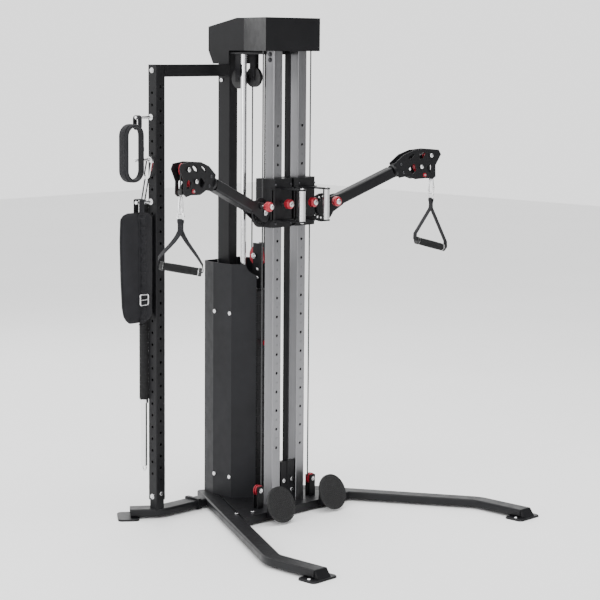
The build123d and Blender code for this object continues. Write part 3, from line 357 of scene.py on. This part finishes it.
class Build:
    """Collects several shapes in one mesh, in metres, with a material for each."""

    def __init__(self):
        self.verts, self.faces, self.mats, self.keys = [], [], [], []

    def key(self, name):
        if name not in self.keys:
            self.keys.append(name)
        return self.keys.index(name)

    def add(self, verts, faces, key):
        base = len(self.verts)
        index = self.key(key)
        self.verts += [Vector(v) for v in verts]
        self.faces += [tuple(base + i for i in f) for f in faces]
        self.mats += [index] * len(faces)

    def lathe(self, profile, origin, axis, key, segments=40, flutes=0, depth=0.0, span=None):
        """profile is (radius, height) in millimetres; key is one look or one for each run."""
        m = frame_matrix(origin, axis)
        rings = []
        for r, h in profile:
            ring = []
            for k in range(segments):
                a = turn(k, segments)
                cut = 0.0
                if span and span[0] <= h <= span[1]:
                    cut = depth * max(0.0, math.cos(flutes * a)) ** 2
                ring.append(m @ (Vector(((r - cut) * math.cos(a), (r - cut) * math.sin(a), h)) * MM))
            rings.append(ring)
        keys = [key] * (len(profile) - 1) if isinstance(key, str) else key
        for i in range(len(profile) - 1):
            faces = []
            for k in range(segments):
                after = (k + 1) % segments
                faces.append((k, after, segments + after, segments + k))
            self.add(rings[i] + rings[i + 1], faces, keys[i])
        for ring, look in ((rings[0], keys[0]), (rings[-1], keys[-1])):
            self.add(ring, [tuple(range(segments))], look)

    def tube(self, points, radius, key, closed=False, segments=14):
        """Round bar along points in millimetres."""
        angles = [turn(k, segments) for k in range(segments)]
        self.sweep(points, [(radius * math.cos(a), radius * math.sin(a)) for a in angles], key, closed)

    def sweep(self, points, section, key, closed=False, up=None, scale=None):
        """Carries a closed section (across, up) along points, all in millimetres."""
        pts = [Vector(p) for p in points]
        n, k = len(pts), len(section)
        verts = []
        side = None
        for i, p in enumerate(pts):
            a = pts[(i - 1) % n] if closed or i else pts[0]
            b = pts[(i + 1) % n] if closed or i < n - 1 else pts[-1]
            t = (b - a).normalized()
            if up is not None:
                side = Vector(up[i] if isinstance(up, list) else up)
            elif side is None:
                hint = Vector((0, 0, 1)) if abs(t.z) < 0.9 else Vector((1, 0, 0))
                side = t.cross(hint).normalized()
            side = (side - t * side.dot(t)).normalized()
            top = t.cross(side)
            sx, sy = scale[i] if scale else (1, 1)
            verts += [(p + side * x * sx + top * y * sy) * MM for x, y in section]
        faces = []
        last = n if closed else n - 1
        for i in range(last):
            a, b = i * k, ((i + 1) % n) * k
            faces += [(a + j, a + (j + 1) % k, b + (j + 1) % k, b + j) for j in range(k)]
        if not closed:
            faces += [tuple(range(k)), tuple(range((n - 1) * k, n * k))]
        self.add(verts, faces, key)

    def done(self, name, body, stands_for=(), sharp=HARD):
        obj = new_object(name, self.verts, self.faces, self.keys, self.mats, sharp)
        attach(obj, body)
        if stands_for:
            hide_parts(*stands_for)
        return obj


def rounded_rect(w, h, r, steps=5):
    """Rounded rectangle outline centred on the origin."""
    out = []
    right, top = w / 2 - r, h / 2 - r
    left, low_edge = r - w / 2, r - h / 2
    for cx, cy, start in ((right, top, 0), (left, top, 90), (left, low_edge, 180), (right, low_edge, 270)):
        for k in range(steps + 1):
            a = math.radians(start + 90 * k / steps)
            out.append((cx + r * math.cos(a), cy + r * math.sin(a)))
    return out


def arc(cx, cy, r, start, end, steps):
    """Points on a circular arc between two angles in degrees."""
    angles = [math.radians(start + (end - start) * k / steps) for k in range(steps + 1)]
    return [(cx + r * math.cos(a), cy + r * math.sin(a)) for a in angles]


def ring_angles(n):
    return [turn(k, n) for k in range(n)]


def arm_axes(sign):
    """Directions along an arm, across it in its tilting plane, and out of its front."""
    along = Vector((sign * math.cos(YAW) * math.cos(TILT), -math.sin(YAW) * math.cos(TILT), math.sin(TILT)))
    across = Vector((-sign * math.cos(YAW) * math.sin(TILT), math.sin(YAW) * math.sin(TILT), math.cos(TILT)))
    front = Vector((-sign * math.sin(YAW), -math.cos(YAW), 0))
    return along, across, front


def arm_point(sign, u, v, w=0.0):
    along, across, front = arm_axes(sign)
    return Vector((sign * 190.0, FRONT_Y - 10.0, 1323.0)) + along * u + across * v + front * w


# ---------------------------------------------------------------- knobs, bolts and small hardware
KNOB_COLLAR = ((5.6, 0), (8, 0), (8, 0.4), (13, 0.8), (13.6, 2), (13.6, 5.5))
KNOB_GRIP = ((12, -0.5), (19, 1), (21, 3.5), (21, 19.5), (19.5, 22.5), (17, 24), (11.5, 24.5), (11.5, 29.5),
             (9.5, 32), (5, 33.5), (0.01, 33.5))
KNOB_LOOK = ["chrome"] * 4 + ["red"] * 10 + ["zinc"] * 4


def knob(name, origin, axis, node, nose, collar, grip):
    """Spring pin and knob; nose, collar and grip are distances out from the pin's seat."""
    b = Build()
    profile = [(5.0, nose), (5.6, nose + 1.5)]
    profile += [(r, collar + z) for r, z in KNOB_COLLAR]
    profile += [(r, grip + z) for r, z in KNOB_GRIP]
    b.lathe(profile, origin, axis, KNOB_LOOK, 72, 18, 1.3, (grip + 2.5, grip + 20.5))
    b.done(name, node, (node,))


PIN_ANGLE, PIN_RING = math.radians(19), 46
for side, sign in SIDES:
    height_seat = (sign * COLUMN_X, FRONT_Y + 9, 1355.6)
    knob(f"{side}_height_knob", height_seat, (0, -1, 0), f"{side}_height_pin", 9.6, 57.5, 65)
    angle_seat = arm_point(sign, PIN_RING * math.cos(PIN_ANGLE), PIN_RING * math.sin(PIN_ANGLE), -7)
    knob(f"{side}_angle_knob", angle_seat, arm_axes(sign)[2], f"{side}_angle_pin", 11.6, 52, 60)


def button(b, origin, axis, radius=8.0, key="zinc"):
    """Round-head bolt with a socket."""
    profile = ((radius, 0), (radius, 0.8), (radius * 0.93, 2.4), (radius * 0.7, 3.9), (radius * 0.42, 4.3),
               (radius * 0.36, 4.3), (radius * 0.34, 1.6), (0.01, 1.6))
    b.lathe(profile, origin, axis, key, 28)


def hex_bolt(b, origin, axis, across=13.0, height=5.5, key="zinc"):
    """Hexagon head on a washer."""
    b.lathe(((across * 0.82, 0), (across * 0.82, 1.6), (across * 0.5, 1.6)), origin, axis, key, 32)
    r = across / math.sqrt(3)
    b.lathe(((r, 1.6), (r, height - 0.8), (r * 0.88, height), (0.01, height)), origin, axis, key, 6)


def cheek_hardware():
    """Bolts, hubs and guide rollers on the pulley heads, and the cable over the outer pulley."""
    for side, sign in SIDES:
        front = arm_axes(sign)[2]
        b = Build()
        for u, v in (OUTER_PULLEY, INNER_PULLEY):
            for w in (27.2, -27.2):
                button(b, arm_point(sign, u, v, w), front * (1 if w > 0 else -1), 9.5)
        for u, v in ((446, 18), (446, -22)):
            for w in (22, -22):
                button(b, arm_point(sign, u, v, w), front * (1 if w > 0 else -1), 6.5, "dark_zinc")
        for w in (22, -26):
            b.lathe(((9, 0), (9.5, 1), (9.5, 3), (9, 4)), arm_point(sign, *ROLLER, w), front, "red", 36)
        roller = arm_point(sign, *ROLLER, 0)
        b.lathe(((4.5, -29), (4.5, 29)), roller, front, "zinc", 24)
        b.lathe(((8.5, -17), (8.5, -12), (6.5, -9), (6.5, 9), (8.5, 12), (8.5, 17)), roller, front, "red", 36)
        points = []
        for k in range(13):
            a = math.radians(-36 + 130 * k / 12)
            u, v = OUTER_PULLEY[0] + 20 * math.cos(a), OUTER_PULLEY[1] + 20 * math.sin(a)
            points.append(arm_point(sign, u, v))
        points += [arm_point(sign, 560, 8.5), arm_point(sign, 500, 4), arm_point(sign, 427, -1)]
        b.tube(points, 3.0, "cable")
        b.done(f"{side}_head_hardware", f"{side}_head")
        for name, (u, v) in (("outer", OUTER_PULLEY), ("inner", INNER_PULLEY)):
            h = Build()
            for flip in (1, -1):
                out = front * flip
                hub = ((6.1, 0), (6.1, 2.2), (11, 2.2), (12, 1.2), (12.2, 0))
                h.lathe(hub, arm_point(sign, u, v, 8 * flip), out, "zinc", 40)
                for k in range(6):
                    a = math.radians(60 * k)
                    spot = arm_point(sign, u + 15.6 * math.cos(a), v + 15.6 * math.sin(a), 8 * flip)
                    h.lathe(((2.1, 0), (1.9, 0.7), (0.01, 0.7)), spot, out, "dark_zinc", 12)
            h.done(f"{side}_{name}_hub", f"{side}_{name}_pulley")


cheek_hardware()


STITCH = rounded_rect(0.9, 0.9, 0.3, 1)
GRIP_HALF = 84
RIBS = 23
GRIP_END = ((15.2, 69.5), (15.4, 70), (16.4, 70.5), (17.2, 72), (17.2, 80), (16.8, 82.4), (15.2, 84), (6, 84))
GRIP_PLACE = {"left": (-59.9, -9.0, 1144.0), "right": (0.0, 15.0, 1131.0)}      # turn, tilt, height
CABLE_STOP = ((3.6, 1470), (5.2, 1466), (5.8, 1460), (9.5, 1457), (12, 1451), (12.3, 1446), (11.6, 1440),
              (9, 1436), (5, 1434.5))


def handles():
    """Carabiner, ring, sewn strap and grip on each cable."""
    up = Vector((0, 0, 1))
    for side, sign in SIDES:
        turned_deg, tilt_deg, mid = GRIP_PLACE[side]
        axle = arm_point(sign, *OUTER_PULLEY)
        arm_dir = Vector((sign * math.cos(YAW), -math.sin(YAW), 0))
        flat = Vector((-arm_dir.y, arm_dir.x, 0))
        hang = Vector((axle.x, axle.y, 0)) + arm_dir * 20

        def at(x, z, y=0.0):
            return hang + arm_dir * x + flat * y + up * z

        b = Build()
        b.lathe(((3.0, 1455), (3.0, axle.z)), hang, up, "cable", 16)
        b.lathe(CABLE_STOP, hang, up, "nylon", 36)
        b.lathe(((4.6, 1435), (4.6, 1431.5), (3.2, 1430), (3.2, 1428)), hang, up, "zinc", 20)
        eye = [at(0, 1425 + 5.5 * math.cos(a), 5.5 * math.sin(a)) for a in ring_angles(20)]
        b.tube(eye, 1.9, "zinc", True, 10)
        loop = arc(0, 1421, 8.2, 0, 180, 10) + [(-11.9, 1395), (-12.6, 1385)]
        loop += arc(0, 1375, 12.6, 180, 360, 14) + [(12.6, 1385)]
        b.tube([at(x, z) for x, z in loop], 4.2, "chrome", True, 14)
        b.tube([at(12.3, 1383), at(9.0, 1416)], 3.6, "zinc", False, 14)
        b.lathe(((5.6, 1382), (6.1, 1384), (6.1, 1393), (5.6, 1395)), at(11.4, 0), (0, 0, 1), "chrome", 24)
        ring = [at(0, 1351 + 15 * math.cos(a), 15 * math.sin(a)) for a in ring_angles(36)]
        b.tube(ring, 3.4, "chrome", True, 14)
        b.done(f"{side}_carabiner", f"{side}_hook", (f"{side}_hook",))

        tilt = math.radians(tilt_deg)
        grip_dir = Matrix.Rotation(math.radians(turned_deg), 3, "Z") @ arm_dir
        wide = Vector((-grip_dir.y, grip_dir.x, 0))

        def on(x, z, y=0.0):
            return hang + grip_dir * x + wide * y + up * z

        def end(k, reach, lift=0.0):
            return on(k * reach * math.cos(tilt), mid - k * reach * math.sin(tilt) + lift)

        flat_up = flat if flat.dot(wide) > 0 else -flat
        fall = GRIP_HALF * math.tan(tilt)

        def leg(k):
            """Half of the strap: from under the grip's end, up to the ring, twisting on the way."""
            points = [end(k, 80, -2), end(k, 87.5, 0.2), end(k, 89.6, 3), end(k, 90, 9)]
            ups = [wide] * 4
            low_z = mid - k * fall + 30
            for step in range(7):
                t = step / 6
                x, z = k * (86 * (1 - t) + 4 * t), low_z * (1 - t) + 1293 * t
                turned = grip_dir.lerp(arm_dir, t).normalized()
                points.append(hang + turned * x + up * z)
                ups.append(wide.lerp(flat_up, 0.35 + 0.65 * t).normalized())
            points += [at(k * 1.6, 1302), at(k * 1.6, 1321), at(k * 4.8, 1329)]
            return points, ups + [flat_up] * 3

        first, ups_a = leg(-1)
        second, ups_b = leg(1)
        over_ring = [math.radians(180 - 30 * k) for k in range(7)]
        turn_points = [at(5.3 * math.cos(a), 1336 + 5.3 * math.sin(a)) for a in over_ring]
        strap = Build()
        strap.sweep(first + turn_points + second[::-1], rounded_rect(26, 2.6, 1.1, 3), "webbing",
                    up=ups_a + [flat_up] * 7 + ups_b[::-1])
        for z in (1303, 1308, 1313, 1318):
            for face in (1, -1):
                for y in range(-10, 11, 4):
                    strap.sweep([at(face * 3.05, z, y - 1.3), at(face * 3.05, z, y + 1.3)], STITCH, "thread")
        strap.done(f"{side}_strap", f"{side}_handle", (f"{side}_handle_strap",), WOVEN)

        grip = Build()
        axis = (end(1, GRIP_HALF) - end(-1, GRIP_HALF)).normalized()
        profile = [(r, -z) for r, z in reversed(GRIP_END)]
        looks = ["nylon"] * 4 + ["satin"] * 2 + ["foam"]
        for k in range(RIBS):
            start = -69 + 138 * k / RIBS
            swell = 0.9 * math.cos(math.pi * (k - RIBS // 2) / RIBS)
            for step, radius in ((0.0, 15.0), (0.9, 15.9), (4.2, 15.9), (5.1, 15.0)):
                profile.append((radius + swell, start + step))
                looks.append("foam")
        profile += GRIP_END
        looks += ["foam"] + ["satin"] * 2 + ["nylon"] * 5
        grip.lathe(profile, on(0, mid), axis, looks[:len(profile) - 1], 44)
        grip.done(f"{side}_grip", f"{side}_handle", (f"{side}_handle_grip",), RIBBED)


handles()


def tread_dots():
    """Raised rubber dots and a raised rim on the foot treads."""
    lean = math.radians(22)
    normal = Vector((0, -math.cos(lean), math.sin(lean)))
    slope = Vector((0, math.sin(lean), math.cos(lean)))
    b = Build()
    for sign in (-1, 1):
        centre = Vector((sign * 161.0, FRONT_Y - 112.0, 79.0)) + normal * 9
        b.lathe(((77, -0.4), (77, 1.2), (75.6, 1.8), (73.4, 1.8), (72.4, -0.2)), centre, normal, "rubber", 72)
        for i in range(-7, 8):
            for j in range(-7, 8):
                x, y = 10.4 * (i + 0.5 * (j % 2)), 9.0 * j
                if math.hypot(x, y) < 67:
                    spot = centre + Vector((1, 0, 0)) * x + slope * y
                    b.lathe(((3.5, -0.2), (3.3, 1.3), (2.4, 2.1), (0.01, 2.3)), spot, normal, "rubber", 12)
    b.done("tread_dots", "frame")


tread_dots()


TOP_HOLE_Z, COLUMN_PITCH, MARKS = 1682.0, 81.6, 17


def column_marks():
    """Etched position numbers between the holes of both columns."""
    made = []
    for sign in (-1, 1):
        for k in range(MARKS):
            curve = bpy.data.curves.new(f"mark_{sign}_{k}", "FONT")
            curve.body = str(k + 1)
            curve.size, curve.extrude = 0.013, 0.00012
            curve.align_x, curve.align_y = "CENTER", "CENTER"
            text = bpy.data.objects.new(curve.name, curve)
            bpy.context.scene.collection.objects.link(text)
            z = TOP_HOLE_Z - (k + 0.5) * COLUMN_PITCH
            place = Matrix.Translation(Vector((sign * COLUMN_X, FRONT_Y - 0.1, z)) * MM)
            text.matrix_world = place @ Matrix.Rotation(math.pi / 2, 4, "X")
            bpy.context.view_layer.update()
            mesh = bpy.data.meshes.new_from_object(text)
            mesh.transform(text.matrix_world)
            made.append(mesh)
            bpy.data.objects.remove(text)
    bm = bmesh.new()
    for mesh in made:
        bm.from_mesh(mesh)
    joined = bpy.data.meshes.new("column_marks")
    bm.to_mesh(joined)
    bm.free()
    joined.materials.clear()
    joined.materials.append(M["mark"])
    obj = bpy.data.objects.new("column_marks", joined)
    bpy.context.scene.collection.objects.link(obj)
    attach(obj, "frame")


column_marks()


def inflate(obj, pinned, frames=20, pressure=4.0, cap=0.006):
    """Fill a sewn pad with a short cloth simulation, with its seam held."""
    rest = [v.co.copy() for v in obj.data.vertices]
    group = obj.vertex_groups.new(name="seam")
    group.add(pinned, 1.0, "REPLACE")
    cloth = obj.modifiers.new("filling", "CLOTH")
    cloth.settings.quality = 6
    cloth.settings.mass = 0.25
    cloth.settings.tension_stiffness = 22
    cloth.settings.compression_stiffness = 22
    cloth.settings.bending_stiffness = 1.2
    cloth.settings.use_pressure = True
    cloth.settings.uniform_pressure_force = pressure
    cloth.settings.vertex_group_mass = "seam"
    cloth.settings.effector_weights.gravity = 0
    cloth.point_cache.frame_start, cloth.point_cache.frame_end = 1, frames
    scene = bpy.context.scene
    for number in range(1, frames + 1):
        scene.frame_set(number)
    shaped = obj.evaluated_get(bpy.context.evaluated_depsgraph_get()).to_mesh()
    moved = []
    for old, vert in zip(rest, shaped.vertices):
        step = vert.co - old
        moved.append(old + step * min(1.0, cap / max(step.length, 1e-9)))
    obj.modifiers.remove(cloth)
    for vert, place in zip(obj.data.vertices, moved):
        vert.co = place
    obj.data.update()
    scene.frame_set(1)


def bar_foam():
    """Ribbed foam grip of the long bar."""
    bar = Vector((-502.0, BAR_PEGS_Y + 46.0, 0))
    b = Build()
    profile = [(12.6, 1353), (19.2, 1352.4), (20.4, 1350)]
    z = 1346.0
    while z > 524:
        profile += [(20.5, z), (20.5, z - 9.0), (19.7, z - 9.8), (19.7, z - 11.2)]
        z -= 12.0
    profile += [(20.4, 519), (19.2, 516.6), (14, 516)]
    b.lathe(profile, bar, (0, 0, 1), "foam", 48)
    b.done("bar_foam", "frame", ("long_bar_grip",), RIBBED)


def ankle_cuff():
    """Padded loop with its webbing, hang loop and D-ring."""
    cuff_x, cuff_z, cuff_y = -636.0, 1575.0, BAR_PEGS_Y - 36.0
    shape = rounded_rect(94, 228, 43, 8)
    path = [Vector((cuff_x + x, cuff_y, cuff_z + z)) for x, z in shape]
    thick = [min(1.0, max(0.0, (34 - x) / 40)) for x, z in shape]
    section = []
    for k in range(28):
        ca, sa = math.cos(turn(k, 28)), math.sin(turn(k, 28))
        section.append((27.0 * math.copysign(abs(ca) ** 0.45, ca), 7.4 * math.copysign(abs(sa) ** 0.7, sa)))
    pad = Build()
    taper = [(0.66 + 0.34 * t, 0.3 + 0.7 * t) for t in thick]
    pad.sweep(path, section, "cloth", True, up=(0, 1, 0), scale=taper)
    cuff_pad = pad.done("cuff_pad", "frame", ("ankle_cuff",), WOVEN)
    c = Build()
    outside = []
    for (x, z), t in zip(shape, thick):
        stand = 3.2 + 6.2 * t
        if abs(z) < 71:
            outside.append(Vector((cuff_x + (x + stand * (x / 47)), cuff_y, cuff_z + z)))
        else:
            across = 0.75 * math.copysign(min(1, abs(x) / 30), x)
            outside.append(Vector((cuff_x + (x + stand * across), cuff_y,
                                   cuff_z + (z + stand * (0.66 * math.copysign(1, z))))))
    c.sweep(outside, rounded_rect(30, 2.2, 0.9, 3), "webbing", True, up=(0, 1, 0))
    for y in (-12.5, 12.5):
        for z in range(-62, 63, 6):
            spot = Vector((cuff_x - 56.6 - 0.6, cuff_y + y, cuff_z + z))
            c.sweep([spot, spot + Vector((0, 0, 4))], STITCH, "thread")
    hook = Vector((-577.0, BAR_PEGS_Y, 1699.0))
    loop = [hook + Vector((0, y, z)) for y, z in rounded_rect(31, 59, 14, 6)]
    c.sweep(loop, rounded_rect(22, 2.4, 1, 3), "webbing", True, up=(1, 0, 0))
    d_mid = Vector((cuff_x + 46, cuff_y, 1590))
    half_turn = [math.radians(-90 + 15 * k) for k in range(13)]
    ring = [d_mid + Vector((3 + 13 * math.cos(a), 0, 17 * math.sin(a))) for a in half_turn]
    c.tube(ring, 2.6, "chrome", True, 12)
    c.done("cuff_webbing", "frame")


# Sides of the hip belt: height, and distance from its middle.
BELT_LEFT = ((1322, -46), (1315, -70), (1298, -86), (1210, -90), (1050, -86), (930, -79), (892, -71),
             (870, -56), (858, -38))
BELT_RIGHT = ((1322, 46), (1314, 72), (1297, 84), (1100, 86), (900, 83), (878, 76), (864, 60), (858, 44))
BELT_TOP, BELT_LOW = 1321.5, 858.5


def hip_belt():
    """Stuffed pad, its edge binding, the webbing sewn over it, the buckle and the hang loop."""
    belt_x, belt_y = -583.0, BAR_PEGS_Y
    rows, cols = 64, 26

    def edge(side, z):
        for (z1, x1), (z2, x2) in zip(side, side[1:]):
            if z2 <= z <= z1:
                return x1 + (x2 - x1) * (z1 - z) / (z1 - z2)
        return side[-1][1]

    verts, faces = [], []
    for face in (-1, 1):
        for i in range(rows + 1):
            z = BELT_TOP - (BELT_TOP - BELT_LOW) * i / rows
            x0, x1 = edge(BELT_LEFT, z), edge(BELT_RIGHT, z)
            end_fall = min(1.0, (i + 0.15) / 3.0, (rows - i + 0.15) / 3.0) ** 0.5
            middle = belt_x + (x0 + x1) / 2
            for j in range(cols + 1):
                s = -1 + 2 * j / cols
                crown = max(0.0, 1 - abs(s) ** 6) ** 0.5
                quilt = 0.86 + 0.14 * abs(math.sin(math.pi * (z - 858) / 77.0)) ** 0.5
                depth = 16.2 * crown * end_fall * quilt + 0.6
                verts.append(Vector((middle + s * (x1 - x0) / 2, belt_y + face * depth, z)) * MM)
    count = (rows + 1) * (cols + 1)
    for base in (0, count):
        for i in range(rows):
            for j in range(cols):
                a = base + i * (cols + 1) + j
                faces.append((a, a + 1, a + cols + 2, a + cols + 1))
    rim = [i * (cols + 1) for i in range(rows + 1)]
    rim += [rows * (cols + 1) + j for j in range(1, cols + 1)]
    rim += [(rows - i) * (cols + 1) + cols for i in range(1, rows + 1)]
    rim += [cols - j for j in range(1, cols)]
    for a, nxt in zip(rim, rim[1:] + rim[:1]):
        faces.append((a, nxt, nxt + count, a + count))
    stuffed = Build()
    stuffed.add(verts, faces, "cloth")
    belt_pad = stuffed.done("belt_pad", "frame", ("hip_belt",), WOVEN)
    inflate(belt_pad, rim + [k + count for k in rim])
    belt = Build()
    rim_points = []
    for k in rim:
        a, b = verts[k], verts[k + count]
        rim_points.append(Vector(((a.x + b.x) / 2, (a.y + b.y) / 2, a.z)) / MM)
    belt.sweep(rim_points, rounded_rect(9, 2.6, 1.0, 2), "webbing", True, up=(0, 1, 0))
    bpy.context.view_layer.update()
    skin = [(belt_pad.matrix_world @ v.co) / MM for v in belt_pad.data.vertices]

    web_x = 14

    def front_at(z):
        """Front of the pad beside the webbing at height z."""
        near = [v.y for v in skin if abs(v.z - z) < 12 and abs(v.x - belt_x - web_x) < 12]
        return min(near, default=belt_y - 20) + 0.4

    column = [Vector((belt_x + web_x, front_at(z) - 1.2, z)) for z in range(1316, 868, -14)]
    belt.sweep(column, rounded_rect(46, 2.2, 0.9, 3), "webbing", up=(1, 0, 0))
    for z in range(1300, 880, -38):
        bulge = []
        for k in range(9):
            low_z = z - 4.5 * k
            out = front_at(low_z) - 2.6 - 5.2 * math.sin(math.pi * k / 8)
            bulge.append(Vector((belt_x + web_x, out, low_z)))
        belt.sweep(bulge, rounded_rect(25, 2.0, 0.8, 3), "webbing", up=(1, 0, 0))
        for x in range(-11, 12, 3):
            y = front_at(z) - 4.2
            ends = [Vector((belt_x + web_x + x, y, z - 0.5)), Vector((belt_x + web_x + 2 + x, y, z - 0.5))]
            belt.sweep(ends, rounded_rect(0.8, 0.8, 0.3, 1), "thread")
    buckle_z = 957
    buckle_y = front_at(buckle_z) - 9.5
    frame_line = rounded_rect(44, 44, 6, 4)
    buckle = [Vector((belt_x + web_x + x, buckle_y, buckle_z + z)) for x, z in frame_line]
    belt.tube(buckle, 3.2, "chrome", True, 12)
    prong = [Vector((belt_x + x, buckle_y, buckle_z)) for x in (-8, 36)]
    belt.tube(prong, 2.6, "chrome")
    hang = [Vector((-569.5, BAR_PEGS_Y + y, 1346 + z)) for y, z in rounded_rect(37, 65, 7, 5)]
    belt.sweep(hang, rounded_rect(27, 2.4, 1, 3), "webbing", True, up=(1, 0, 0))
    belt.done("belt_webbing", "frame")


bar_foam()
ankle_cuff()
hip_belt()


def small_hardware():
    """Bolts on the foot pads, post, columns, treads, carriages and floating block."""
    b = Build()
    for sign in (-1, 1):
        for x in (sign * 648 - 50, sign * 648 + 50):
            button(b, (x, FRONT_Y - 800 + 10, 8), (0, 0, 1), 8)
    for z in (96.0, 1915):
        hex_bolt(b, (-470.5 - 25.6, FRONT_Y + 326.8, z), (-1, 0, 0), 14, 7)
    for sign in (-1, 1):
        for z in (1962, 1985):
            hex_bolt(b, (sign * 99.6, FRONT_Y + 25, z), (sign, 0, 0), 13, 6, "dark_zinc")
        hex_bolt(b, (sign * 163, FRONT_Y + 4, 120), (0, -1, 0), 12, 6)
    b.done("frame_bolts", "frame")
    for side, sign in SIDES:
        c = Build()
        for z, way in ((1422, 1), (1281, -1)):
            button(c, (sign * COLUMN_X, 28.5, z), (0, 0, way), 8.5)
        for z in (1272, 1436):
            for x in (26, 118):
                button(c, (sign * x, 141.4, z), (0, -1, 0), 5.5, "dark_zinc")
        hex_bolt(c, arm_point(sign, 0, 0, 26.8), arm_axes(sign)[2], 16, 8)
        c.done(f"{side}_carriage_bolts", f"{side}_carriage")
    f = Build()
    for z in (1052, 1016):
        for sign in (-1, 1):
            button(f, (sign * 21.2, FRONT_Y + 173, z), (sign, 0, 0), 7)
    for sign in (-1, 1):
        hex_bolt(f, (sign * 27, FRONT_Y + 191, 1110), (sign, 0, 0), 15, 7)
    f.done("block_bolts", "stack")


small_hardware()
cable = NODES["lift_cable"]
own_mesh(cable)


def stage_and_light():
    """Pale floor, a world that darkens toward one side, and four soft lights."""
    floor = bpy.data.meshes.new("floor")
    reach = 14
    corners = [(-reach, -reach, 0), (reach, -reach, 0), (reach, reach, 0), (-reach, reach, 0)]
    floor.from_pydata(corners, [], [(0, 1, 2, 3)])
    obj = bpy.data.objects.new("floor", floor)
    s = Shader("floor_paint", (0.93, 0.93, 0.93), 0.6)
    s.tone(0.8, 3, (0.92, 0.92, 0.92), (0.94, 0.94, 0.94))
    floor.materials.append(s.mat)
    bpy.context.scene.collection.objects.link(obj)
    world = bpy.data.worlds.new("studio")
    bpy.context.scene.world = world
    world.use_nodes = True
    tree = world.node_tree
    toward = tree.nodes.new("ShaderNodeVectorMath")
    toward.operation = "DOT_PRODUCT"
    toward.inputs[1].default_value = (0.727, -0.687, 0.0)
    tree.links.new(tree.nodes.new("ShaderNodeTexCoord").outputs["Generated"], toward.inputs[0])
    shade = tree.nodes.new("ShaderNodeMapRange")
    shade.interpolation_type = "SMOOTHSTEP"
    for name, value in (("From Min", 0.25), ("From Max", 0.85), ("To Min", 1.0), ("To Max", 0.12)):
        shade.inputs[name].default_value = value
    tree.links.new(toward.outputs["Value"], shade.inputs["Value"])
    tree.links.new(shade.outputs["Result"], tree.nodes["Background"].inputs["Color"])
    tree.nodes["Background"].inputs["Strength"].default_value = 1.8

    def area(name, place, size, power):
        light = bpy.data.lights.new(name, "AREA")
        light.shape, light.size, light.size_y = "RECTANGLE", size[0], size[1]
        light.energy = power
        lamp = bpy.data.objects.new(name, light)
        lamp.location = place
        direction = Vector((0, 0, 1.1)) - Vector(place)
        lamp.rotation_mode = "QUATERNION"
        lamp.rotation_quaternion = direction.to_track_quat("-Z", "Y")
        bpy.context.scene.collection.objects.link(lamp)

    area("top_box", (0.3, -0.6, 5.2), (4, 4), 190)
    area("key_box", (-2.2, -5.4, 3.6), (2.4, 3.2), 60)
    area("left_box", (-5.2, 0.6, 2.4), (1.6, 3.4), 90)
    area("back_box", (1.0, 5.0, 3.4), (4, 2), 90)


stage_and_light()
